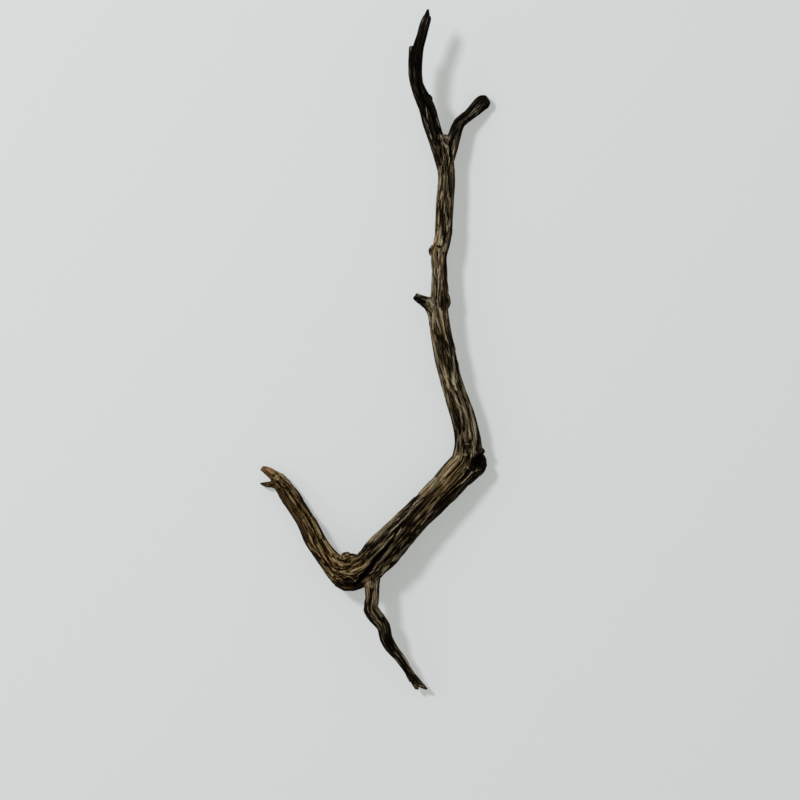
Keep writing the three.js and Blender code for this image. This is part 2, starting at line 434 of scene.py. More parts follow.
def over_limbs(recipe):
    """Works a recipe out on each limb's own grain and blends the results by their shares."""
    total = np.zeros(len(skin))
    for (place, _, _), part in zip(places, share):
        near = part > LEAST_SHARE
        total[near] += part[near] * recipe(place[near])
    return total


def between(value, low, high):
    """Eases from 0 to 1 as a value goes from low to high."""
    t = np.clip((value - low) / (high - low), 0, 1)
    return t * t * (3 - 2 * t)


print("noise at three corners:", noise(skin[:3] / 5).round(2))

# %% [markdown]
# ## Furrows all round
# Gradient noise passes through nought along winding lines. Drawn out along the grain, those
# lines become long lens shapes that split and rejoin, which is just how weathered wood opens.
# One net of deep furrows and one of fine cracks are cut along them, and slow swells underneath
# turn the round limb into a bundle of strands. Each net and streak is given by its width
# across the grain in millimetres, how far it is drawn out along it, and the seed of its noise.

# %% Furrows all round
def furrow_net(width, stretch, narrow, seed):
    """1 in the bottom of a net of furrows and 0 on the ribs between them."""
    def recipe(place):
        sway = 0.45 * grain_noise(place, width * 2.3, 5, seed + 7)[:, None]
        line = noise(place / (width, width, width * stretch) + sway, seed)
        return np.exp(-(line / narrow) ** 2)
    return over_limbs(recipe)


def streaks(width, stretch, seed):
    """Noise in streaks along the grain of every limb."""
    return over_limbs(lambda place: grain_noise(place, width, stretch, seed))


grizzle = 0.5 * streaks(0.8, 18, 75) + 0.6 * streaks(1.5, 16, 77) + 0.5 * streaks(3, 12, 79)
swell = streaks(6.5, 7, 3)
chips = streaks(3.4, 2.2, 5)
deep_net = furrow_net(3.1, 12, 0.17, 11)
crack_net = furrow_net(1.5, 16, 0.2, 23)
where_deep = between(streaks(5, 5, 31), -0.6, 0.35)
where_cracked = between(streaks(4, 6, 37), -0.6, 0.35)
thickness = (share * np.stack([radius for _, _, radius in places])).sum(0)
print("deep furrows cover", round(float((deep_net * where_deep > 0.5).mean()), 3), "of the skin")

# %% [markdown]
# ## Cuts and ribs drawn one by one
# The top of the branch has features that a reader of the wood would know it by: the deep split
# where the spur's strand leaves the arm's, the long crease round the bend, the hooked groove on
# the elbow. Noise can't place those, so each is drawn as a line over the branch, as a carver
# pencils the cuts on before starting. A line narrows towards its ends. It acts on the top and
# the sides and fades out underneath, and noise sways and frays it a little.

# %% A pencil line over the branch
SWAY = 0.3                      # how far noise moves a drawn line, in millimetres
RAGGED = 0.28                   # how much the fibres fray the edges of a drawn line

sway = np.stack([noise(skin / 3.5, 51), noise(skin / 3.5, 53)], axis=1)
swayed = skin[:, :2] + SWAY * sway
on_top = between(facing[:, 2], -0.5, -0.05)
ragged = streaks(0.8, 12, 41) + streaks(1.6, 10, 43)


def drawn(points, width, ends=0.4):
    """1 along a drawn line, falling to 0 at half its width on each side."""
    route = along([(x, y, 0, 0) for x, y in points], step=2)[:, :2]
    near = np.flatnonzero(((swayed > route.min(0) - width) & (swayed < route.max(0) + width)).all(1))
    spots = swayed[near]
    gone = np.linspace(0, 1, len(route))
    best = np.full(len(near), 9.0)
    for start, end, t0, t1 in zip(route[:-1], route[1:], gone[:-1], gone[1:]):
        run = end - start
        part = np.clip((spots - start) @ run / (run @ run), 0, 1)
        gap = np.linalg.norm(spots - start - part[:, None] * run, axis=1)
        fullness = np.sqrt(np.sin(np.pi * np.clip(t0 + part * (t1 - t0), 0.02, 0.98)))
        best = np.minimum(best, gap / (width / 2 * (ends + (1 - ends) * fullness)))
    line = np.zeros(len(skin))
    line[near] = np.clip(1 - best + RAGGED * ragged[near] * (best < 1.3), 0, 1) * on_top[near]
    return line


def spot(x, y, width, length=None, turn=0):
    """1 in the middle of an oval spot, falling to 0 at its edge. It may be turned, in degrees."""
    length = length or width
    turned = math.radians(turn)
    dx, dy = swayed[:, 0] - x, swayed[:, 1] - y
    u = dx * math.cos(turned) + dy * math.sin(turned)
    v = dy * math.cos(turned) - dx * math.sin(turned)
    return np.clip(1 - np.hypot(2 * u / width, 2 * v / length), 0, 1) * on_top


print("lines can be drawn on", round(100 * float(on_top.mean())), "% of the skin")

# %% [markdown]
# ## The strokes
# Creases are given as width, depth, darkness and the points that they pass, and ribs as width,
# height, lightness and points. The thick limb comes first. On the real wood it is two strands
# wound together with a deep black split between them, which no noise would put in its place.

# %% The thick limb
SPLIT = [(-13.2, -150.2), (-9.5, -146.6), (-4.8, -141.6), (-1.2, -136), (2.4, -131.4),
         (7, -126.2), (11.4, -120.2)]
CREASES = [
    # The split between the strands, narrowing as it climbs the limb.
    (5.6, 3.8, 1.0, SPLIT),
    (5.2, 3.6, 1.0, [(-11.6, -149.6), (-8.2, -146.2), (-4.6, -142.4), (-1.6, -138), (2, -132)]),
    (2.6, 1.4, 1.0, [(8, -124.6), (12, -119), (15, -113.6)]),
    # Creases along the upper strand.
    (2.6, 1.2, 1.0, [(-5, -127.6), (0.8, -123.6), (5.2, -119.8), (8.4, -116.8)]),
    (1.1, 0.8, 1.0, [(6.4, -117.2), (11, -112), (15, -108.2), (19, -104.4), (22, -100.4), (24.5, -98)]),
    (1.3, 0.7, 0.65, [(20.6, -99.8), (24, -96.6), (27, -93.8), (29, -92)]),
    (1.0, 0.6, 0.65, [(21.8, -102.8), (24, -100.4), (26.6, -97.2)]),
    # The broad hollow down the middle, and the ones below the pale rib.
    (2.6, 0.3, 0.9, [(20.6, -113), (23.6, -110), (26.4, -107.2)]),
    (4.8, 0.7, 0.6, [(19.4, -111.4), (23.6, -106), (28.4, -100.4), (33, -95), (37.6, -90.2),
                     (42, -86)]),
    (2.2, 1.0, 1.0, [(12.6, -124.4), (16, -119.6), (19.4, -115), (22, -111)]),
    (3.0, 0.9, 0.9, [(24.6, -112.6), (27.6, -109), (31, -105), (33.4, -101.8)]),
    (1.8, 0.8, 0.9, [(9.6, -129.8), (12.4, -126.6), (16, -122.4), (20, -118.8), (23, -116)]),
    (0.9, 0.6, 0.9, [(17.2, -125.2), (19.6, -122.4), (22.4, -119.8)]),
    # The lower right side, whose creases also carry painted shade.
    (4.0, 0.9, 1.0, [(38.6, -102.4), (41.6, -99), (45.2, -94.9), (50, -90.3), (54.6, -86.1)]),
    (2.4, 0.4, 0.5, [(27, -117.4), (31, -113.2), (36, -108.6), (42, -102), (48, -96)]),
    (1.4, 0.4, 0.9, [(23.4, -122.8), (20.4, -127.4), (16.8, -131.8), (12, -135.8)]),
    (2.4, 0.6, 0.9, [(18, -119.4), (21.6, -115.8), (24.6, -112.4)]),
    (0.9, 0.6, 0.9, [(2.6, -140.6), (4.4, -137.6), (6, -135)]),
    # Two lines that run on to the elbow.
    (1.1, 0.7, 0.95, [(41.4, -89), (45.4, -85.4), (50, -80.7), (54.4, -76.4), (57.6, -72.6)]),
    (1.0, 0.6, 0.8, [(47, -87.4), (50.4, -84), (53, -80.6), (55, -77.6)]),
]
RIBS = [
    (6.4, 0.2, 0.8, [(-5, -122.8), (1, -118), (6, -113.6), (11, -108.6), (16, -103.4)]),
    (3.8, 0.4, 1.0, [(14.8, -104), (19.4, -99.4), (24.6, -94)]),
    (2.8, 0.4, 0.9, [(28.6, -91), (31.6, -88), (35, -85), (39, -81.4)]),
    (1.6, 0.6, 0.8, [(24.4, -98.6), (27, -96.6), (28.8, -95.2)]),
    (1.0, 0.5, 0.8, [(12, -109.6), (14, -108), (15.6, -106.6)]),
    (2.4, 0.5, 0.6, [(0.2, -130), (4.6, -125.5), (8.8, -121.2), (12.4, -116.4)]),
    (2.2, 0.5, 1.0, [(11, -115), (15, -111), (19.2, -106.6), (23.4, -101.4), (28, -97.6), (31, -94.8)]),
    (1.7, 0.6, 0.9, [(13.6, -118.6), (15.2, -115.8), (17, -112.4)]),
    (1.0, 0.4, 0.5, [(17, -112.4), (20, -108.6), (22.4, -104.6)]),
    (1.0, 0.9, 0.95, [(5.6, -130), (9, -126), (11.4, -122), (13.4, -118)]),
    (1.5, 0.7, 0.8, [(-3.4, -143), (-1.4, -140.8), (0.2, -138), (1.6, -134.6), (4.6, -130.8)]),
    (1.2, 0.8, 1.0, [(24.4, -108.8), (28, -104.6), (31.6, -101), (35, -97), (38.6, -92.8),
                     (42, -88.8)]),
    (1.0, 0.5, 0.8, [(42, -88.8), (45, -85.4), (48.6, -81.4)]),
    (2.8, 0.4, 0.9, [(33.2, -104), (36, -100.6), (38.4, -97), (41, -93.4)]),
    (1.0, 0.6, 0.85, [(29.6, -110.8), (32.4, -107.4), (35.6, -103.8), (38.4, -101.6)]),
    (1.2, 0.5, 0.6, [(26, -117.2), (27, -114.6), (28.4, -112.6)]),
    (1.4, 0.3, 0.7, [(20.4, -125.2), (24, -121.2), (28, -117), (31, -113.6)]),
    (1.2, 0.4, 0.6, [(16, -126), (18.4, -123.4), (21.4, -120.4), (24, -118.6)]),
    (3.2, 0.6, 1.0, [(11, -133.8), (13.8, -131.6), (16.6, -128.6), (19.6, -125.4)]),
    (1.2, 0.5, 0.7, [(1.6, -141), (3.4, -138), (6, -135.4)]),
    (2.4, 0.5, 1.0, [(3.6, -143.2), (6, -140), (9, -137)]),
    (1.3, 0.5, 0.9, [(44.4, -94.6), (47.4, -91.2), (50.6, -87.8), (53.6, -85.4)]),
    (1.6, 0.4, 0.55, [(42.6, -90.6), (45, -88), (47.4, -85)]),
]
print("on the thick limb:", len(CREASES), "creases and", len(RIBS), "ribs")

# %% [markdown]
# At the bend the wood was squeezed as it grew, so its ribs are twisted, and one crease runs round
# the whole bend between them. Up the bent arm the ribs straighten beside a thin crease and a
# strip of shade, and the arm ends where it broke. Ribs drawn to follow the bend look squeezed
# without any sculpting.

# %% The bend and the bent arm
CREASES += [
    # The thin crease down the arm, and the strip of shade beside it.
    (1.1, 0.9, 1.0, [(-57.4, -85.4), (-54.4, -89.2), (-53.4, -92.8), (-50.5, -96.4), (-48, -100),
                     (-45, -103.8), (-42.6, -108), (-40, -112), (-38.2, -115.6), (-37.4, -119),
                     (-35, -123), (-32, -127)]),
    (3.0, 0.7, 1.0, [(-53.6, -84), (-51.1, -87.4), (-47.9, -92), (-44, -98.6), (-40.5, -104.2),
                     (-38.9, -106.6)]),
    (1.6, 0.8, 1.0, [(-38.8, -117.4), (-39.4, -120.4), (-38.6, -124.4)]),
    (3.0, 0.2, 0.45, [(-43.6, -116), (-42, -121), (-40, -125.4)]),
    (1.0, 0.7, 0.9, [(-33.8, -121.6), (-31.4, -125.6), (-29, -129.4)]),
    (9.0, 0.1, 0.62, [(-61.4, -89), (-55.6, -97), (-50.2, -105.6), (-46, -114), (-43, -121)]),
    (1.8, 0.2, 0.8, [(-63.4, -90.6), (-59, -98.6), (-53.8, -106), (-49.4, -113.4), (-46.4, -120)]),
    # The broken end.
    (1.2, 0.7, 0.8, [(-71, -76.6), (-67.6, -78.6), (-64.6, -80.6)]),
    (1.2, 0.7, 0.9, [(-63.6, -78.4), (-60, -81.6), (-56.6, -85)]),
    (1.4, 0.8, 0.8, [(-67.4, -80.8), (-66.2, -82.6), (-66.8, -84.2)]),
    (2.4, 0.2, 0.8, [(-73, -84.4), (-69.4, -85.4), (-65, -86)]),
    # Round the bend.
    (1.2, 0.9, 0.9, [(-34.6, -124), (-31.6, -129), (-28.6, -133.6), (-26.4, -138.6)]),
    (1.3, 1.1, 1.0, [(-26.4, -135.6), (-24, -137.6), (-20, -138), (-15.6, -136.6), (-11, -134.2),
                     (-7.6, -131.4), (-4.6, -127.6), (-1, -124.6)]),
    (1.1, 0.8, 0.9, [(-24.6, -132.4), (-22, -134), (-18, -134.4), (-15, -133.8)]),
    (3.4, 0.5, 1.0, [(-15, -130), (-11.4, -128.6), (-7, -125.8), (-3.6, -122.8)]),
    (1.5, 0.6, 1.0, [(-13, -131.6), (-10.6, -130.6), (-8, -128.6), (-5, -125.6)]),
    (1.8, 0.6, 0.9, [(-5.4, -133), (-3, -131), (0, -128.6)]),
    (1.4, 1.0, 0.95, [(-35, -131.6), (-31.4, -135.8), (-28, -139.8), (-25.4, -142.4),
                      (-21.6, -142.8), (-18, -142.2)]),
    (1.8, 0.6, 0.95, [(-26, -138.7), (-22.6, -139.8), (-19, -139.6), (-16, -138.4)]),
    (0.9, 0.6, 0.85, [(-21.6, -130.6), (-19, -131.8), (-16.6, -130.8)]),
    (0.9, 0.5, 0.8, [(-17, -129.4), (-14.6, -130.8), (-12.6, -130.2)]),
    (4.0, 0.2, 0.95, [(-40.4, -128), (-38.4, -130.4), (-35.4, -133.8), (-31.8, -139), (-28, -143.2)]),
    (1.1, 0.7, 0.8, [(-28, -143.8), (-24.6, -146.2), (-21, -147)]),
    # Painted shade along the bottom of the bend, over a shallow crease.
    (3.0, 0.3, 0.85, [(-32.2, -143.8), (-28.6, -148.4), (-23.8, -152), (-17.6, -153.4), (-12, -152)]),
]
RIBS += [
    (1.6, 0.6, 0.9, [(-53, -89.6), (-50.6, -93.4), (-48.4, -97), (-45.4, -101.4), (-42, -106)]),
    (3.6, 0.5, 1.0, [(-41, -107), (-38.6, -111.4), (-36.4, -116), (-34.6, -119.6)]),
    (0.9, 0.5, 0.7, [(-54.4, -92.4), (-52.6, -95), (-50, -98.4)]),
    (1.1, 0.5, 0.7, [(-42.6, -110.6), (-40.4, -113.6), (-39, -117)]),
    (1.3, 0.5, 0.8, [(-37.6, -119.6), (-35.6, -123.6), (-33, -127.4)]),
    (2.4, 0.3, 0.9, [(-62.6, -77.8), (-58, -81.4), (-54.4, -85.6)]),
    (2.4, 0.4, 0.6, [(-33, -121.6), (-30, -126), (-27.6, -129.6)]),
    (1.4, 0.5, 0.75, [(-27.6, -129.8), (-25.6, -134), (-22.6, -136.2), (-18, -136.8),
                      (-13.6, -135.2)]),
    (1.6, 0.5, 0.8, [(-35, -127.6), (-31.6, -132.6), (-28.6, -137), (-26, -140.2), (-22.4, -141),
                     (-18, -140.6)]),
    (1.6, 0.5, 0.7, [(-35, -134.4), (-31, -139), (-27.6, -142.8), (-24, -145), (-20.6, -146)]),
    (4.0, 0.6, 0.9, [(-15.6, -140.6), (-12.6, -139.8), (-9.6, -138.8), (-6.6, -137.6), (-3.6, -135.4)]),
    (2.2, 0.5, 0.6, [(-15, -137.6), (-11, -135.6), (-7.6, -133.6)]),
    (1.0, 0.8, 0.8, [(-3, -135), (-4.6, -138), (-7, -140.8), (-10.4, -142.8), (-11.4, -146)]),
    (1.2, 0.8, 0.8, [(-17, -144.4), (-14.6, -144.8), (-12.8, -146.2), (-12, -147.4)]),
    (1.0, 0.5, 0.8, [(-24.6, -131.4), (-22, -133), (-19, -133.4)]),
    (1.0, 0.5, 0.7, [(-19, -133), (-16.4, -132.2), (-13.6, -131.6)]),
    (0.9, 0.5, 0.7, [(-11.4, -130.4), (-8.6, -127.8), (-6.4, -125.6)]),
    (0.9, 0.5, 0.85, [(-9.6, -132.6), (-6.6, -130.4), (-4, -127.6), (-2.8, -126.2)]),
]
print("with the bend and the arm:", len(CREASES), "creases and", len(RIBS), "ribs")

# %% [markdown]
# The elbow is the branch's knot of hard wood. It has a groove that hooks round a dark eye, and beside
# it the heart has rotted out, leaving a deep hollow between the burl and the heel, blackened with
# painted shade. The strokes here cut its edges and paint shade down its right edge, and the hollow
# itself is sunk with the other pits further on.

# %% The elbow
CREASES += [
    # The groove that hooks round at its lower end.
    (1.1, 0.9, 1.0, [(59.4, -38.6), (60.6, -43.6), (61.6, -49.6), (62.2, -54.6), (62, -57.6),
                     (60, -58.6), (57.6, -58.4)]),
    (0.8, 0.6, 0.8, [(58.8, -46.6), (59.4, -51), (59.4, -55.4)]),
    (2.8, 0.5, 0.85, [(56.2, -40), (57, -44.4), (57, -51)]),
    (3.6, 0.2, 0.85, [(46.8, -38), (49, -45), (51.2, -51.6), (51.6, -58), (51, -63)]),
    # A strip of painted shade down the elbow's right edge, over a shallow crease.
    (2.6, 0.4, 1.0, [(62.6, -39), (64.4, -44), (65.9, -50.6), (66.4, -56), (66, -62.6)]),
    (1.1, 0.7, 0.9, [(53.6, -59.6), (53.2, -62), (52.6, -64.4)]),
    (1.1, 0.8, 1.0, [(65.4, -60.6), (65.2, -63.2)]),
    # The edges of the hollow, and the gaps beside the heel.
    (1.2, 0.9, 0.9, [(61.6, -65.4), (58.4, -68), (56.8, -70.6), (56.4, -74)]),
    (0.7, 0.3, 0.6, [(55.8, -66), (53.4, -70), (50.4, -73.6)]),
    (2.4, 1.0, 1.0, [(66, -74.4), (61.6, -76.2), (58.6, -79.2), (56, -83)]),
    (2.4, 0.3, 0.5, [(69.8, -75.2), (65.8, -79.4), (61, -83.6), (56.4, -87.4)]),
]
RIBS += [
    (1.8, 0.4, 0.65, [(56.4, -34.6), (58, -39), (58.8, -44), (60.2, -50), (60.7, -56.4)]),
    (3.4, 0.4, 0.7, [(60.2, -34.6), (61.4, -39), (62.8, -45), (63.8, -52), (64, -59), (62.6, -64.4)]),
    (0.8, 0.5, 0.9, [(57.8, -60.2), (59.4, -59.6), (61, -60)]),
    (0.8, 0.5, 0.7, [(59.6, -60.6), (59.2, -63), (58.4, -65)]),
    (1.2, 0.6, 0.7, [(64, -64), (65, -65.6), (66.8, -66.2)]),
    (1.2, 0.5, 0.9, [(58.6, -73.8), (59.2, -75.2), (60.6, -75.6)]),
    (1.4, 0.7, 0.85, [(67.8, -75.5), (64.4, -76.8), (61, -78.4), (58.6, -81), (56, -84),
                      (52.6, -86.6)]),
    (1.4, 0.6, 0.4, [(57, -76.6), (56, -79.6), (53.6, -82.6), (50.6, -85.6)]),
    (5.4, 0.3, 0.85, [(55.4, -66.2), (51.4, -71), (47.6, -75.6), (44, -79.4)]),
    (1.4, 0.4, 0.6, [(52.6, -66.4), (52, -69.4), (50.6, -73)]),
    (1.6, 0.3, 0.5, [(53, -56), (52.4, -61), (51.6, -65.4)]),
    (1.4, 0.4, 0.6, [(55.8, -61.6), (56, -64), (54.8, -67)]),
]
print("with the elbow:", len(CREASES), "creases and", len(RIBS), "ribs")

# %% [markdown]
# Above the elbow the fibres twist. A tan band crosses the stem from the left down to the right,
# past a knot, with a long black crease beside it. A twisted noise would give a band, but not this
# one, so it is drawn in two ribs that meet.

# %% The lower stem
CREASES += [
    (3.8, 1.5, 1.0, [(48, -25), (49.2, -30.6), (51, -36), (52.8, -42), (54, -48), (54.2, -53.4)]),
    (5.4, 0.3, 0.75, [(46.6, -24), (48.4, -32), (50.6, -40), (52.6, -48)]),
    (1.6, 0.9, 1.0, [(46.4, -17.4), (47.9, -20.8), (49.9, -23.8), (51, -28)]),
    (3.0, 0.9, 1.0, [(42, 4), (43.2, -2), (44.4, -7), (45.8, -11), (46.4, -15)]),
    (1.6, 1.0, 1.0, [(47.4, -6), (47.2, -10.6), (47.8, -14.6), (48.2, -17)]),
    (1.2, 0.7, 0.9, [(48.2, 0), (48.7, -4), (49, -8), (49.4, -12)]),
    (1.8, 0.6, 0.9, [(51.4, 0.6), (51.8, -5), (52.6, -10), (53.8, -15.4)]),
    (1.4, 0.5, 0.5, [(41.2, -11), (42.6, -16), (44.4, -22), (46, -28), (47.6, -34)]),
    (1.4, 0.7, 0.9, [(54.4, -22), (55.6, -27), (57.4, -32), (58.6, -36.4)]),
    (0.9, 0.5, 0.7, [(51.6, -20.6), (52.8, -23.4), (54, -26.2)]),
    (0.9, 0.5, 0.8, [(39.8, 1), (40.6, -4), (42, -9)]),
]
RIBS += [
    (2.2, 0.4, 0.9, [(39.8, -2), (41.4, -7.4), (43.4, -13.4), (45.4, -19), (47.2, -23.6), (50, -28.4)]),
    (1.6, 0.4, 0.9, [(50.6, -29.4), (52.4, -32.6), (54.8, -35), (56.6, -37.6), (58.6, -42)]),
    (1.2, 0.5, 1.0, [(45.2, 1), (46.2, -1.6), (47.4, -3.6)]),
    (1.0, 0.5, 0.4, [(45.7, -5), (46.4, -8), (48, -12), (48.9, -15)]),
    (2.0, 0.5, 0.9, [(49.6, -3.8), (50.2, -8), (50.5, -12.6), (51, -16)]),
    (0.9, 0.3, 0.8, [(44, 0.2), (44.4, -1), (44.5, -2.4)]),
    (1.3, 0.3, 0.5, [(45.8, -27), (47, -33), (48.2, -37)]),
    (1.6, 0.3, 0.7, [(42.3, -18), (43.5, -22.4), (44.7, -27)]),
    (1.1, 0.3, 0.6, [(53.8, -17), (54.3, -19.4), (54.4, -22)]),
    (1.0, 0.4, 0.7, [(51.5, -30), (52.6, -28.5), (54, -29.4)]),
    (1.2, 0.4, 0.7, [(58.4, -32.6), (60, -37)]),
    (1.0, 0.3, 0.5, [(51.8, -21), (53.2, -24.4), (55, -28)]),
]
print("with the lower stem:", len(CREASES), "creases and", len(RIBS), "ribs")

# %% [markdown]
# The upper stem is smooth and pale down its left, and rough down its right, where painted shade darkens
# it. One broad soft crease paints that shade down the right side with only a shallow cut, since cutting
# it all away would make the stem too thin. Short strokes mark the snag, the old bud and the knots
# between them.

# %% The upper stem
CREASES += [
    # Painted shade down the right side of the stem, with a shallow cut.
    (4.6, 0.5, 0.9, [(45.6, 62), (45.3, 54), (45, 44), (44.8, 34), (44.6, 25)]),
    (3.6, 0.9, 1.0, [(43, 35), (43.2, 31), (43.4, 26)]),
    (1.2, 0.7, 0.9, [(39.9, 27), (40.8, 21), (41.8, 16.5), (42.9, 11)]),
    (1.1, 0.7, 0.9, [(39.2, 18.6), (40.2, 14.4), (41.2, 10.6)]),
    (1.3, 0.7, 0.9, [(38, 15), (38.7, 11), (39.8, 6.6)]),
    (1.4, 0.7, 0.9, [(44, 23), (44.6, 18), (45, 13), (46.4, 8)]),
    (4.6, 0.9, 0.9, [(40.6, 9.6), (41.8, 5), (42.6, 0)]),
    (3.4, 0.4, 0.95, [(46.6, 15), (47.2, 9), (47.8, 3), (48.6, -2)]),
    (1.3, 0.7, 0.9, [(33.4, 26.4), (34.8, 24.2), (35.8, 22)]),
    (1.3, 0.6, 0.6, [(34.6, 31), (35.2, 28.6), (36, 26)]),
    (2.2, 1.1, 1.0, [(39.6, 66.9), (41, 66.4), (42.4, 66.8)]),
    (3.0, 0.7, 0.9, [(43.4, 93), (43.2, 86), (43.7, 80), (43.4, 74)]),
    (1.1, 0.6, 0.8, [(41.8, 89), (41.9, 84), (42.4, 79)]),
    (1.4, 0.8, 0.9, [(39.8, 80.6), (40.1, 78.8), (39.9, 76.6)]),
    (1.4, 0.6, 0.9, [(46.4, 98), (46, 91), (46.8, 86), (46.2, 80)]),
    (1.6, 0.5, 0.8, [(49.2, 96), (48.9, 88), (48.7, 80), (48.4, 74)]),
    (1.1, 0.5, 0.8, [(43.8, 99), (43.4, 95.6), (42.8, 92)]),
    (2.0, 0.6, 0.8, [(41.8, 60), (42.5, 54), (42.9, 46)]),
    (2.4, 0.1, 0.6, [(36.8, 62), (36.8, 57.6), (37.2, 53)]),
    (2.6, 0.2, 0.65, [(45.4, 113), (45, 106), (45, 100), (44.8, 94.6)]),
    (1.2, 0.5, 0.8, [(38.2, 77), (37.6, 72), (36.8, 67.6)]),
    (2.2, 0.6, 0.9, [(47.8, 120), (47.6, 112), (48, 104), (48.4, 98)]),
    (1.6, 0.9, 1.0, [(46.6, 109.4), (47, 108.4), (47.5, 107.2)]),
    (1.2, 0.6, 0.9, [(44.6, 123), (44.9, 118.6), (45, 114)]),
    (1.0, 0.5, 0.8, [(43.2, 118), (43.4, 112), (43.2, 108)]),
    (1.4, 0.4, 0.9, [(40, 121), (40.2, 114), (40, 106)]),
    (4.0, 0.3, 0.8, [(48.2, 114), (48.2, 107), (48.4, 100)]),
]
RIBS += [
    (3.0, 0.3, 0.35, [(38.6, 52), (38.7, 44), (38.9, 36), (38.4, 26), (38, 18)]),
    (1.8, 0.4, 0.9, [(40.6, 49), (40.4, 42), (39.9, 36), (39.6, 31)]),
    (2.0, 0.5, 1.0, [(41.7, 27.2), (42, 24), (42.9, 20), (43.5, 15.4)]),
    (1.1, 0.5, 0.9, [(39.4, 21), (40.6, 16.4), (41.5, 12.4)]),
    (1.2, 0.5, 0.9, [(43.4, 15.6), (44.9, 11.4), (45.8, 7.4), (47.6, 3.4)]),
    (1.1, 0.4, 0.7, [(45.3, 28), (45.7, 23), (46.2, 17), (46.6, 12.6)]),
    (2.4, 0.3, 0.8, [(37, 23.6), (37.2, 18), (37.3, 13.4)]),
    (0.9, 0.4, 0.7, [(38.2, 10.4), (38.6, 7.4), (39, 4.6)]),
    (0.9, 0.3, 0.6, [(43.2, 6.4), (43.7, 4.2), (44.6, 1.4)]),
    (1.5, 0.4, 0.7, [(33.6, 25), (34.6, 22), (35.6, 18)]),
    (2.2, 0.3, 0.7, [(33.6, 32.6), (35.4, 32.2), (36.8, 30.4)]),
    (1.8, 0.4, 1.0, [(40.9, 79), (41.5, 75), (40.9, 71), (41, 68)]),
    (2.4, 0.4, 1.0, [(42.4, 71.4), (43, 69), (43.5, 66), (43.4, 63.6)]),
    (1.2, 0.3, 0.7, [(40.4, 65.4), (40.9, 62.6), (40.7, 59)]),
    (1.6, 0.3, 0.6, [(38.2, 66.4), (38.6, 64.4), (37.8, 62)]),
    (1.1, 0.3, 0.7, [(42.8, 64), (42.9, 60), (42.7, 56)]),
    (1.0, 0.3, 0.8, [(40.2, 52.6), (40.6, 51.4), (40.5, 49.4)]),
    (1.0, 0.4, 0.8, [(44.5, 97), (44.7, 92), (44.3, 87.6)]),
    (2.0, 0.4, 0.9, [(43, 102), (41.7, 97.4), (40.5, 93)]),
    (1.3, 0.4, 0.8, [(47.4, 98), (47.9, 95), (47.6, 92)]),
    (1.1, 0.4, 0.8, [(46.3, 85.6), (46.8, 83.2), (47.3, 81)]),
    (1.3, 0.4, 0.7, [(48.4, 84.6), (47.8, 81.6), (47.5, 79)]),
    (1.5, 0.3, 0.8, [(40.2, 94.6), (40.4, 93.4), (40.3, 92.2)]),
    (1.2, 0.3, 0.5, [(41.2, 87), (40.9, 83.4), (40.4, 80.8)]),
    (2.0, 0.3, 0.8, [(42.2, 118), (42, 112), (41.6, 106), (41.2, 102.6)]),
]
print("with the upper stem:", len(CREASES), "creases and", len(RIBS), "ribs")

# %% [markdown]
# The fork, the tines, the snag and the spur are darker, with only a few pale fibres left. A plain
# dark finish would look like a shadow, so each still gets the creases and the fibres that show.

# %% The fork and the twigs
CREASES += [
    (1.6, 1.2, 1.0, [(41.4, 137.6), (41.6, 132), (42.4, 127), (43.2, 123)]),
    (2.6, 0.9, 0.9, [(44.6, 135), (44.4, 131), (44.7, 126.6)]),
    (1.5, 0.9, 1.0, [(48.7, 134), (48.4, 129), (48.6, 124), (48.9, 119)]),
    (1.2, 0.6, 0.8, [(46.2, 124.4), (46.2, 120.4), (45.9, 116)]),
    (1.6, 0.8, 1.0, [(37.6, 150), (38.4, 144), (39.4, 138), (39.8, 131)]),
    (1.1, 0.6, 0.8, [(34.8, 150), (35.6, 143), (36.6, 137), (38, 131)]),
    (1.1, 0.6, 0.8, [(50.8, 141), (52.6, 145.4), (55, 148.8), (59, 152), (63, 156.4)]),
    (1.1, 0.6, 0.8, [(54, 138), (55.4, 143), (57.6, 146.8), (61.4, 149.6), (66, 153.6)]),
    (1.5, 0.6, 0.8, [(66.6, 158), (69, 159.6), (71, 160.6)]),
    (1.2, 0.6, 0.8, [(30.6, 164), (28, 170), (26.6, 178), (26.4, 186)]),
    (1.2, 0.6, 0.8, [(23.8, 186), (23.6, 178), (24.6, 171)]),
    (1.2, 0.9, 0.9, [(25.8, 194.4), (25.4, 190), (25, 185)]),
    (1.5, 0.9, 0.9, [(-2.9, -151), (-2.8, -156), (-2.9, -162), (-3, -166)]),
    (2.4, 0.5, 0.9, [(-3.2, -158), (-3.4, -163), (-2.6, -168)]),
    (2.9, 0.4, 0.95, [(-6.5, -154), (-6, -159), (-6, -165), (-3, -170.6), (0.6, -174.8)]),
    (1.2, 0.7, 0.9, [(-0.6, -165), (1.2, -169), (4.2, -173), (6, -178)]),
    (1.2, 0.7, 0.9, [(-2.6, -168), (0, -171.6), (3, -175), (4.6, -180)]),
    (1.2, 0.7, 0.9, [(6, -184), (8.4, -189.6), (12, -194.4), (16, -198.8), (19.6, -204)]),
    (1.1, 0.6, 0.8, [(9.4, -184), (11.6, -189), (15.4, -193.6), (18.4, -197.8), (22, -203.4)]),
    (1.2, 0.8, 0.9, [(22.8, -206), (25.4, -210), (28.4, -214)]),
]
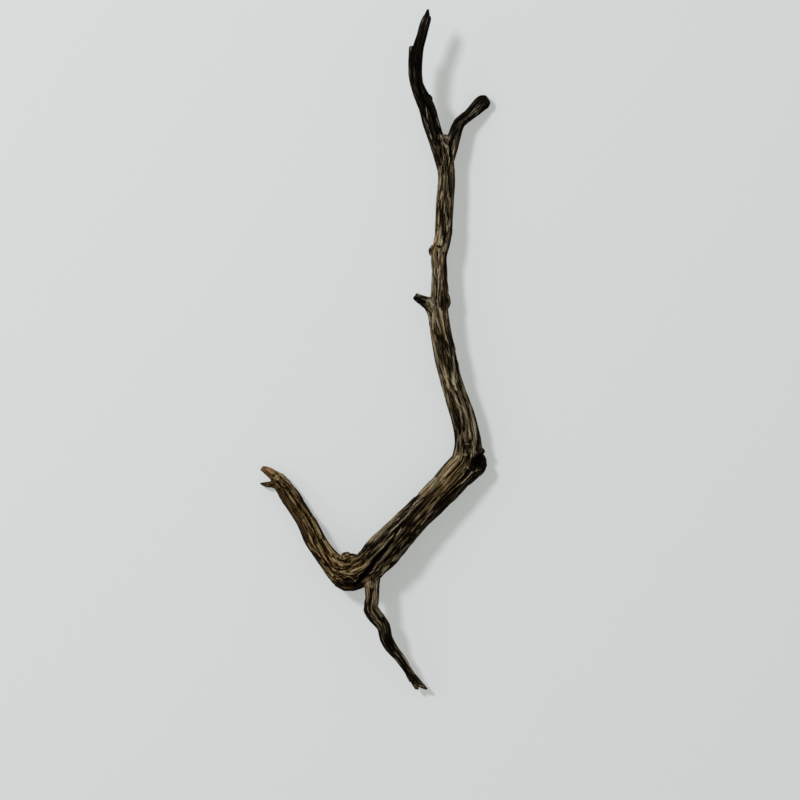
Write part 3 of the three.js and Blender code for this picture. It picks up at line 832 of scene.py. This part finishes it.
RIBS += [
    (1.6, 0.5, 1.0, [(46.3, 131.4), (46.5, 128.4), (46.9, 125.4)]),
    (1.1, 0.5, 0.8, [(48.6, 137.8), (47.2, 135), (46.4, 132)]),
    (1.3, 0.5, 0.9, [(50.6, 135), (50.6, 130.4), (50, 125.6), (49.9, 121)]),
    (1.2, 0.4, 0.8, [(47.6, 124), (47.5, 120.4), (46.9, 116.4)]),
    (1.0, 0.4, 0.7, [(42.4, 124), (42.9, 121), (43.4, 118)]),
    (1.0, 0.4, 0.45, [(43.3, 129.6), (43.6, 127), (44.1, 124.4)]),
    (1.1, 0.5, 0.85, [(32.7, 156), (33.1, 151), (33.3, 147.4), (34, 143)]),
    (1.1, 0.4, 0.8, [(35.4, 138.6), (36, 136.8), (36.6, 135)]),
    (1.0, 0.4, 0.5, [(51.8, 139.6), (51.2, 136.4), (51.4, 133)]),
    (1.0, 0.4, 0.5, [(57.6, 148.2), (60.6, 151), (63, 154.4), (64.8, 156.6)]),
    (1.0, 0.4, 0.5, [(59.6, 148.8), (62.8, 151.6), (65.6, 154.4), (68.2, 155.6)]),
    (0.9, 0.4, 0.45, [(60.4, 154.4), (62.6, 157.6), (65.2, 160.2)]),
    (1.3, 0.3, 0.5, [(24.3, 181), (24.2, 178), (24.4, 174.4)]),
    (1.8, 0.2, 0.45, [(29.6, 203), (29, 201.6), (28.7, 199.6)]),
    (1.8, 0.3, 1.0, [(23.2, 194.6), (22.9, 191), (22.7, 187)]),
    (2.2, 0.2, 0.45, [(32, 211.4), (31.4, 210.4), (30.6, 209.6)]),
    (3.2, 0.4, 0.75, [(0.8, -146.6), (0.5, -152), (0.6, -157), (0.6, -162), (2, -167)]),
    (1.3, 0.4, 0.4, [(-4.6, -150), (-4.5, -154), (-4.6, -158)]),
    (2.2, 0.5, 1.0, [(1.4, -164), (3, -167), (4.6, -170)]),
    (1.1, 0.4, 0.6, [(0.4, -169.6), (2.6, -172.6), (4.8, -175.4)]),
    (1.3, 0.4, 0.6, [(17.6, -195.2), (20, -199), (22.4, -203.4), (24.6, -207.4)]),
]
print("drawn by hand:", len(CREASES), "creases and", len(RIBS), "ribs")

# %% [markdown]
# Pits are places where the wood rotted through or a twig fell out. A Boolean with a ball would
# leave a hard rim, so each is an oval that the carving sinks softly: x, y, width, length, turn in
# degrees, depth and darkness.

# %% Pits
PITS = [
    # The rotted hollow: a deep pit, blackened with painted shade.
    (67.2, -70.2, 16, 11, 28, 3.8, 1.0),
    (61.4, -71.2, 8, 9, 40, 1.2, 0.65),
    (57.8, -62, 1.8, 2.6, 0, 0.8, 1.0),
    (60.7, -61.8, 1.6, 2.6, 0, 0.7, 0.8),
    (56.2, -58.4, 2.6, 5.4, 0, 1.0, 1.0),
    (67.6, -64, 7, 6, 0, 0.3, 0.5),
    (69.8, -73, 7, 10, 15, 0.3, 0.9),
    # The dark under the bend is painted shade, over a pit.
    (-16.8, -147, 10.5, 6.4, -6, 1.8, 1.0),
    (-13.8, -144, 6.4, 3, -10, 0.9, 0.9),
    (-26.6, -131.2, 2.4, 3.2, 20, 1.0, 0.95),
    (-48.6, -100.4, 2.2, 1.6, 0, 0.4, 0.8),
    (-51.8, -100.4, 1.8, 1.5, 0, 0.3, 0.6),
    (-43, -118.4, 1.8, 2, 0, 0.6, 0.9),
    (-56.8, -87.8, 1.8, 2.4, 0, 0.3, 0.7),
    (-57, -93.4, 2.4, 1.6, 0, 0.3, 0.6),
    (-33, -119.8, 2.6, 1.4, -40, 0.5, 0.8),
    (30.4, -106.6, 2.4, 3, -45, 1, 0.95),
    (52.4, -39.4, 4, 8, 15, 0.8, 0.9),
    (43.4, 3.4, 6.6, 20, 9, 0.5, 0.95),
    (47, -8, 5.6, 17, 14, 0.4, 0.85),
    (49.6, 8, 3.4, 16, 3, 0.3, 0.8),
    (41, 66.5, 3, 1.8, 0, 0.9, 1.0),
    (35.2, 63.8, 3.2, 5.6, 0, 0.2, 0.9),
    (43.6, 30.2, 5, 9, 0, 0.5, 0.8),
    (47, 107.4, 2.6, 4, 0, 0.6, 0.95),
    (69.4, 160.6, 5, 3, 35, 0.7, 0.5),
]
print(len(PITS), "pits")

# %% [markdown]
# Patches are bare places where the bark wore off last and the wood is still tan. They only change
# the colour, so they need no depth: x, y, width, length, turn in degrees and lightness.

# %% Patches
PATCHES = [
    (50.6, -19.4, 4.6, 8.6, 10, 1.0),
    (57.2, -53, 2.8, 5, 0, 1.0),
    (-2.4, -149.2, 8.4, 7, -30, 0.75),
    (57.8, -66.4, 4.4, 3.6, 0, 0.9),
    (68, -64.6, 4, 3.2, 0, 0.4),
    (6.4, -139.6, 5, 8, -45, 0.5),
    (45, 132.4, 6.6, 6.4, 0, 0.8),
    (44.2, 137, 7.6, 3.8, 0, 0.75),
    (-62.8, -81.2, 5.6, 4.8, 40, 1.0),
    (-66.8, -76.8, 9, 4.4, -25, 0.9),
    (-18.4, -131.4, 7, 4.6, 10, 0.7),
    (42.4, -82.4, 2.4, 1.8, 40, 1.0),
    (42.4, 68.6, 2.6, 5, 10, 0.8),
    (40.8, 75, 2.8, 8, 5, 0.7),
    (38.2, 71.6, 2.6, 7, -8, 0.7),
    (45, 66, 3.4, 8, 0, 0.8),
    (36.2, 29.4, 4.6, 6, 0, 1.0),
    (34.2, 30.8, 5.2, 5, 0, 0.9),
    (27.4, 35.4, 4.4, 3, -25, 0.6),
    (40, 146, 3.4, 10, 10, 1.0),
    (42.4, -17.4, 2.8, 8, 12, 0.6),
    (51.6, -24, 3, 5.4, 0, 0.8),
]
print(len(PATCHES), "patches")

# %% [markdown]
# ## Carving
# Now every cut and rib is laid on the skin. Each corner moves along the way it faces: up by the
# ribs and swells, down by the furrows and pits. A Displace modifier would move them by one
# texture only, and here many strokes meet. First the strokes are gathered: where two meet, the
# deeper cut and the darker shade win.

# %% Laying the strokes on the skin
CREASE_REACH = 1.1              # a crease is drawn this many times its stated width, to soften its edge
RIB_REACH = 1.2                 # and a rib this many times

cut = np.zeros(len(skin))
lift = np.zeros(len(skin))
dark = np.zeros(len(skin))
light = np.zeros(len(skin))
for width, depth, darkness, points in CREASES:
    line = drawn(points, width * CREASE_REACH)
    cut = np.maximum(cut, depth * between(line, 0, 0.9))
    dark = np.maximum(dark, darkness * between(line, 0.2, 0.6))
for width, height, lightness, points in RIBS:
    line = drawn(points, width * RIB_REACH)
    lift = np.maximum(lift, height * between(line, 0, 0.9))
    light = np.maximum(light, lightness * between(line, 0.3, 0.8))
for x, y, width, length, turn, depth, darkness in PITS:
    hole = spot(x, y, width, length, turn)
    cut = np.maximum(cut, depth * between(hole, 0, 0.9))
    dark = np.maximum(dark, darkness * between(hole, 0.08, 0.4))
for x, y, width, length, turn, lightness in PATCHES:
    light = np.maximum(light, lightness * between(spot(x, y, width, length, turn), 0.05, 0.5))
dark *= 1 - 0.5 * light
print("strokes cut", round(100 * float((cut > 0.1).mean())), "% of the skin")

# %% [markdown]
# The strokes and the noise are then carved together. A thick limb opens wider than a twig, so the
# furrows go as deep as a part of the limb's radius, within limits. Where a stroke is drawn, the noise
# stands back, so that the two don't blur each other. Nothing is carved below the surface that the
# branch lies on.

# %% Carving
SWELL_PART = 0.06               # how high the swells rise, as a part of the limb's radius
CHIP_PART = 0.03
DEEP_PART = 0.15                # how deep the furrows go, as a part of the limb's radius
DEEP_RANGE = (0.4, 1.2)         # and the least and most that may come to, in millimetres
CRACK_PART = 0.06
CRACK_RANGE = (0.2, 0.45)
GRIZZLE_RISE = 0.1              # the fibres' height in millimetres
FUZZ_RISE = 0.06
PROUD = 0.2                     # the whole skin is set out by this, since carving mostly cuts in
NOISE_STANDS_BACK = 0.75        # how much weaker the noise is on a stroke

by_noise = 1 - NOISE_STANDS_BACK * np.maximum(dark, light)
deep = deep_net * where_deep * by_noise
cracks = crack_net * where_cracked * by_noise
fuzz = noise(skin / 0.9, 61)
rise = SWELL_PART * thickness * swell + CHIP_PART * thickness * chips + lift - cut
rise -= np.clip(DEEP_PART * thickness, *DEEP_RANGE) * deep
rise -= np.clip(CRACK_PART * thickness, *CRACK_RANGE) * cracks
rise += GRIZZLE_RISE * grizzle
rise += FUZZ_RISE * fuzz
rise += PROUD
carved = skin + facing * rise[:, None]
carved[:, 2] = np.maximum(carved[:, 2], WORN_TO)
branch.data.vertices.foreach_set("co", (carved * MM).astype(np.float32).ravel())
branch.data.update()
print("carved from", round(float(rise.min()), 1), "to", round(float(rise.max()), 1), "mm")

# %% [markdown]
# ## What the colours follow
# Dirt and painted shade sit in the furrows, and the ribs are bleached. The sides that turn from the
# lamp, most of all the lower right ones, are darkened with painted shade. The bent arm is golden, and
# so is some of the wood by the elbow. The two tines are nearly black, and black painted shade lies deep
# in the split and in the rotted hollow. Painting would place these as well, but it would not follow the
# carving. So each is worked out once per corner and kept on the mesh under its own name, for the
# material to mix colours by. First come the regions: how far each corner belongs to a limb or to one
# side of it.

# %% Regions of the branch
x, y = skin.T[:2]
on_backbone, on_short_tine, on_spur, on_snag, *on_prongs = share
arm_side = between(-x, -2, 18) * between(-y, 60, 80)
tips = between(y, 117, 141)
left_tine = tips * on_backbone
right_tine = between(y, 128, 142) * on_short_tine
spur_end = between(-y, 166, 181) * (on_spur + on_prongs[0] + on_prongs[1])
snag_end = between(-x, -36, -31) * on_snag
thin_prong = on_prongs[3]
upright = between(y, -56, -34) * on_backbone * (1 - tips)
# Painted shade along the bottom of the bend, which faces away from the lamp.
bend_bottom_shade = between(-y, 144.5, 150) * on_backbone
smooth_stem = upright * between(y, 8, 22) * between(-y, -66, -52)
limb_side = between(-y, 78, 92) * on_backbone * (1 - arm_side)
# Painted shade on the faces that turn from straight up: the sides and undersides.
side_shade = between(-facing[:, 2], -0.7, -0.05)
# Painted shade on the lower right sides, which face away from the key lamp.
lower_right_shade = between(facing @ (0.78, -0.62, 0), 0.5, 0.95)
print("part of the skin on the long tine:", round(float(left_tine.mean()), 3))

# %% [markdown]
# The tone says how dark or light the wood is. It starts from plain weathered wood. Strokes and fibres
# are added to it, then what each region gives or takes, with painted shade on the sides, most on the
# lower right ones, and along the bottom of the bend. Last come the dirt and painted shade in the
# furrows.

# %% Dark and light
PLAIN_TONE = 0.52               # 0 is the darkest wood and 1 the palest
BLACKEST = 0.02

patch = streaks(6, 3, 73)
mottle = 0.6 * streaks(1.1, 2.2, 83) + 0.5 * streaks(2.2, 2.5, 89)
# Dirt and painted shade darken the furrows, cracks, creases and pits.
furrow_dirt_and_shade = np.maximum.reduce([dark, between(deep, 0.2, 0.65), 0.85 * between(cracks, 0.25, 0.75)])
specks = between(noise(skin / 1.2, 97), 0.4, 0.6) * arm_side
drawn_here = np.maximum(dark, light)
tone = PLAIN_TONE + 0.34 * light * (1 + 0.5 * grizzle) + 0.32 * grizzle * (1 - 0.45 * drawn_here)
tone += 0.12 * mottle + 0.1 * patch - 0.1 * side_shade - 0.2 * lower_right_shade * (1 - 0.8 * light)
tone -= 0.14 * left_tine * between(y, 148, 168)
tone += 0.1 * upright + 0.07 * smooth_stem - 0.08 * limb_side - 0.3 * specks
tone -= 0.3 * bend_bottom_shade
tone -= 0.58 * furrow_dirt_and_shade * (1 - 0.3 * between(grizzle, 0, 1))
tone = np.clip(tone, BLACKEST, 1)
print("tones from dark to light:", np.percentile(tone, (5, 25, 50, 75, 95)).round(2))

# %% [markdown]
# Four colours lie over that tone. Gold is wood that the weather has not greyed yet. Soot is wood gone
# black on the tines and twigs, and painted shade in the split and the rotted hollow. Raw is a fresh
# break, and blush is a faint pink where the wood was bruised. Each has its own amount at each corner,
# so that they can overlap as softly as on the real wood.

# %% Gold, soot, painted shade and fresh breaks
ARM_BREAK = (-70.4, -76.8)
LIMB_CHIP = (30.6, -89)
SNAG_BREAK = (27.2, 34.6)


def far_from(place):
    """How far each corner is from a place on the branch, in millimetres seen from above."""
    return np.hypot(x - place[0], y - place[1])


beside_elbow = spot(49.6, -73.4, 13, 26, -41)
inside_bend = spot(-10, -137.6, 18, 8, 18)
rotted = between(spot(66.4, -70.4, 17, 21), 0, 0.25)
gold = 0.9 * arm_side + 0.5 * between(patch, 0.1, 0.7) * (1 - tips)
gold += 0.5 * between(beside_elbow, 0, 0.4)
gold += 0.4 * between(inside_bend, 0, 0.4)
gold = np.clip(gold * (1 - 0.9 * rotted), 0, 1)

pale_saddle = spot(44.2, 136.4, 9, 6)
pale_flake = spot(23.4, 193.4, 3.6, 6)
split = drawn(SPLIT, 5.4)
hollow = spot(66.6, -70.6, 11, 9, 28)
soot_and_shade = 0.9 * left_tine + 0.8 * right_tine + 0.55 * spur_end + 0.85 * snag_end + 0.5 * thin_prong
soot_and_shade = np.clip(soot_and_shade, 0, 1)
soot_and_shade *= 1 - between(pale_saddle, 0, 0.3)
soot_and_shade *= 1 - 0.7 * between(pale_flake, 0, 0.4)
# In the split and the rotted hollow this black is painted shade.
soot_and_shade = np.maximum(soot_and_shade, 0.9 * between(split, 0.1, 0.5))
soot_and_shade = np.maximum(soot_and_shade, 0.7 * between(hollow, 0.1, 0.4))

raw = between(far_from(ARM_BREAK), 8, 3) + 0.3 * between(far_from(LIMB_CHIP), 4, 1)
blush = between(far_from(SNAG_BREAK), 2.4, 1) + 0.5 * between(patch, 0.35, 0.8)
print("gold on", round(100 * float((gold > 0.5).mean())), "% and soot on",
      round(100 * float((soot_and_shade > 0.5).mean())), "% of the skin")

# %% [markdown]
# ## Keeping the numbers on the mesh
# The material reads numbers from the mesh by name. Beside the colours it needs each corner's
# place on its own limb, so that the finest fibres can run along the grain too. Ordinary texture
# space would run them all one way, across the bends.

# %% Keeping the numbers on the mesh
def keep_on_mesh(name, values):
    """Stores one number per corner under a name that the material can read."""
    layer = branch.data.attributes.new(name, "FLOAT", "POINT")
    layer.data.foreach_set("value", np.clip(values, 0, 1).astype(np.float32))


keep_on_mesh("tone", tone)
keep_on_mesh("gold", gold)
keep_on_mesh("soot_and_shade", soot_and_shade)
keep_on_mesh("raw", raw)
keep_on_mesh("blush", blush)
chief = share.argmax(0)
fibre = np.stack([place for place, _, _ in places])[chief, np.arange(len(skin))]
layer = branch.data.attributes.new("fibre", "FLOAT_VECTOR", "POINT")
layer.data.foreach_set("vector", fibre.astype(np.float32).ravel())
print("kept on the mesh:", branch.data.attributes.keys())

# %% [markdown]
# ## Tools for mixing the finish
# The finish is built from nodes, as a colour is mixed from pots. These helpers each add one node
# and hand back its output, so that the mixing below reads as a recipe.

# %% Tools for mixing the finish
def shade(red, green, blue):
    """A colour as a paint chart gives it, 0 to 255, in the linear light that Blender mixes in."""
    return tuple((part / 255) ** 2.2 for part in (red, green, blue)) + (1,)


wood = bpy.data.materials.new("weathered wood")
wood.use_nodes = True
nodes = wood.node_tree.nodes
links = wood.node_tree.links
shader = nodes["Principled BSDF"]


def feed(socket, source):
    """Sets a socket to a number or colour, or links another node's output to it."""
    if isinstance(source, bpy.types.NodeSocket):
        links.new(source, socket)
    else:
        socket.default_value = source


def kept(name):
    """Reads the numbers kept on the mesh under a name."""
    reader = nodes.new("ShaderNodeAttribute")
    reader.attribute_name = name
    return reader.outputs["Vector" if name == "fibre" else "Fac"]


def sums(operation, first, second=0.0, third=0.0):
    """Does one sum on up to three values."""
    step = nodes.new("ShaderNodeMath")
    step.operation = operation
    for socket, source in zip(step.inputs, (first, second, third)):
        feed(socket, source)
    return step.outputs[0]


def mixed(amount, under, over, blend="MIX"):
    """Mixes one colour over another by an amount."""
    mix = nodes.new("ShaderNodeMix")
    mix.data_type = "RGBA"
    mix.blend_type = blend
    feed(mix.inputs[0], amount)
    feed(mix.inputs[6], under)
    feed(mix.inputs[7], over)
    return mix.outputs[2]


def ramp(value, *stops):
    """Turns a value into a colour by stops of place and colour."""
    chart = nodes.new("ShaderNodeValToRGB")
    feed(chart.inputs[0], value)
    for place, _ in stops[2:]:
        chart.color_ramp.elements.new(place)
    for element, (place, colour) in zip(chart.color_ramp.elements, stops):
        element.position = place
        element.color = colour
    return chart.outputs[0]


def fibres(size, stretch, detail):
    """Noise across the grain, drawn out along it."""
    space = nodes.new("ShaderNodeMapping")
    links.new(kept("fibre"), space.inputs["Vector"])
    space.inputs["Scale"].default_value = (1 / size, 1 / size, 1 / (size * stretch))
    cloud = nodes.new("ShaderNodeTexNoise")
    cloud.inputs["Scale"].default_value = 1
    cloud.inputs["Detail"].default_value = detail
    cloud.inputs["Roughness"].default_value = 0.6
    links.new(space.outputs["Vector"], cloud.inputs["Vector"])
    return cloud.outputs["Fac"]


print("charcoal mixes as", [round(part, 4) for part in shade(34, 25, 14)])

# %% [markdown]
# ## The wood's finish
# One material covers the whole branch. It starts from the tone kept on the mesh, low in the furrows and
# high on the bleached ribs. Fine fibres, coarse fibres and thin splits, all drawn out along the grain,
# vary it. A picture of wood laid over the limbs would show seams at the forks, so all of them are
# noise. A colour ramp turns the tone into wood, and gold, the pink of a fresh break, raw wood and soot
# are mixed over it; in the split and the hollow that soot is painted shade. The fibres and splits also
# lift the surface a little, as bump, finer than the mesh can hold.

# %% The wood's finish
BUMP_DEPTH = 0.5 * MM
WOOD_GLOSS = 0.04

fine = fibres(0.5, 30, 4)
coarse = fibres(1.3, 18, 3)
from_split = sums("ABSOLUTE", sums("SUBTRACT", fibres(1.5, 26, 2), 0.5))
solid = sums("MINIMUM", sums("MULTIPLY", from_split, 22), 1)
worn = sums("MULTIPLY_ADD", sums("SUBTRACT", fine, 0.5), 1.3, kept("tone"))
worn = sums("MULTIPLY_ADD", sums("SUBTRACT", coarse, 0.5), 0.9, worn)
worn = sums("MULTIPLY_ADD", sums("SUBTRACT", solid, 0.75), 0.3, worn)
grey_wood = ramp(worn, (0.0, shade(8, 4, 1)), (0.25, shade(34, 25, 14)), (0.5, shade(74, 63, 47)),
                 (0.75, shade(113, 101, 79)), (1.0, shade(158, 147, 122)))
gold_wood = ramp(worn, (0.0, shade(11, 6, 1)), (0.25, shade(53, 38, 18)), (0.5, shade(96, 77, 49)),
                 (0.75, shade(134, 112, 76)), (1.0, shade(168, 148, 112)))
colour = mixed(kept("gold"), grey_wood, gold_wood)
colour = mixed(kept("blush"), colour, shade(126, 104, 94), "SOFT_LIGHT")
raw_wood = ramp(worn, (0.0, shade(22, 12, 5)), (0.35, shade(104, 76, 46)), (0.9, shade(150, 116, 78)))
colour = mixed(kept("raw"), colour, raw_wood)
# Soot, and painted shade in the split and the hollow, from black to pale.
soot_and_shade_wood = ramp(worn, (0.0, shade(2, 1, 0)), (0.5, shade(10, 7, 4)), (0.75, shade(36, 29, 23)),
                 (1.0, shade(146, 134, 116)))
colour = mixed(kept("soot_and_shade"), colour, soot_and_shade_wood)
feed(shader.inputs["Base Color"], colour)
feed(shader.inputs["Roughness"], sums("MULTIPLY_ADD", fine, 0.25, 0.6))
shader.inputs["Specular IOR Level"].default_value = WOOD_GLOSS
relief = nodes.new("ShaderNodeBump")
relief.inputs["Strength"].default_value = 1
relief.inputs["Distance"].default_value = BUMP_DEPTH
feed(relief.inputs["Height"], sums("ADD", sums("ADD", fine, coarse), sums("MULTIPLY", solid, 0.6)))
links.new(relief.outputs["Normal"], shader.inputs["Normal"])
branch.data.materials.clear()
branch.data.materials.append(wood)
print("the wood's finish uses", len(nodes), "nodes")

# %% [markdown]
# ## Cutting the branch at its forks
# The library wants each limb between two forks as its own piece. A plane through the whole branch
# would cut other limbs too. But a bisect cuts only the faces that are selected, so for each fork
# we select a ball of faces round it, slice them with a plane, split the mesh along the slice and
# separate it into loose parts. The larger part keeps its name and the smaller one becomes the new
# limb. Slivers that the plane grazes off a rib are swept away. Each fork is given as the limb it
# is cut from, the middle and the facing of the plane, and the reach of the ball.

# %% Cutting the branch at its forks
FORKS = {
    "spur": ("stem", (-1.7, -149.6, 20), (0.38, -0.92, 0.1), 10),
    "side_snag": ("stem", (32.6, 31.2, 16.8), (-0.88, 0.47, 0), 6.5),
    "bent_arm": ("stem", (-9.3, -141, 16.5), (0.98, 0.2, 0), 15.5),
    "left_tine": ("stem", (46, 126.5, 12.5), (0, 1, 0), 11),
    "right_tine": ("left_tine", (45.2, 132.5, 12.5), (1, 0.04, 0), 9.5),
}
pieces = {"stem": branch}
for node, (parent, place, way, reach) in FORKS.items():
    whole = pieces[parent]
    deselect_all()
    whole.select_set(True)
    bpy.context.view_layer.objects.active = whole
    middles = np.empty(len(whole.data.polygons) * 3, np.float32)
    whole.data.polygons.foreach_get("center", middles)
    gap = np.linalg.norm(middles.reshape(-1, 3) / MM - place, axis=1)
    bpy.ops.object.mode_set(mode="EDIT")
    bpy.ops.mesh.select_mode(type="FACE")
    bpy.ops.mesh.select_all(action="DESELECT")
    bpy.ops.object.mode_set(mode="OBJECT")
    whole.data.polygons.foreach_set("select", gap < reach)
    bpy.ops.object.mode_set(mode="EDIT")
    bpy.ops.mesh.bisect(plane_co=Vector(place) * MM, plane_no=way)
    bpy.ops.mesh.edge_split(type="EDGE")
    bpy.ops.mesh.separate(type="LOOSE")
    bpy.ops.object.mode_set(mode="OBJECT")
    parts = sorted(bpy.context.selected_objects, key=lambda part: -len(part.data.vertices))
    pieces[parent], pieces[node], *slivers = parts
    for sliver in slivers:
        bpy.data.objects.remove(sliver)
    print("cut the", node, "from the", parent, "and swept away", len(slivers), "slivers")

# %% [markdown]
# ## Finishing the pieces
# Each piece's open ends are filled. The stem then has more than MOST_TRIANGLES triangles, so a Decimate
# modifier takes out the corners that matter least, where the wood is plain. A coarser voxel would thin
# it too, but it would blur the grain everywhere. The thinning can leave a fin of faces that close
# nothing, so edges with only one face are deleted and the gap is filled again.
# Last, each piece is handed over: it rides on the one body and stands for its CAD node, whose own part
# is hidden.

# %% Finishing the pieces
MOST_TRIANGLES = 190000


def triangles_in(piece):
    """How many triangles a piece's faces come to."""
    return sum(len(face.vertices) - 2 for face in piece.data.polygons)


for node, piece in pieces.items():
    piece.name = node + "_wood"
    deselect_all()
    piece.select_set(True)
    bpy.context.view_layer.objects.active = piece
    bpy.ops.object.mode_set(mode="EDIT")
    bpy.ops.mesh.select_all(action="SELECT")
    bpy.ops.mesh.fill_holes(sides=0)
    bpy.ops.object.mode_set(mode="OBJECT")
    if triangles_in(piece) > MOST_TRIANGLES:
        bpy.ops.object.modifier_add(type="DECIMATE")
        piece.modifiers[-1].ratio = MOST_TRIANGLES / triangles_in(piece)
        bpy.ops.object.modifier_apply(modifier=piece.modifiers[-1].name)
        bpy.ops.object.mode_set(mode="EDIT")
        bpy.ops.mesh.select_all(action="DESELECT")
        bpy.ops.mesh.select_mode(type="EDGE")
        bpy.ops.mesh.select_non_manifold(
            use_wire=False, use_multi_face=False, use_non_contiguous=False, use_verts=False)
        bpy.ops.mesh.delete(type="EDGE")
        bpy.ops.mesh.select_all(action="SELECT")
        bpy.ops.mesh.delete_loose()
        bpy.ops.mesh.select_all(action="SELECT")
        bpy.ops.mesh.fill_holes(sides=0)
        bpy.ops.object.mode_set(mode="OBJECT")
    bpy.ops.object.shade_smooth()
    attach(piece, "root")
    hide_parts(node)
    print(piece.name, "has", triangles_in(piece), "triangles")
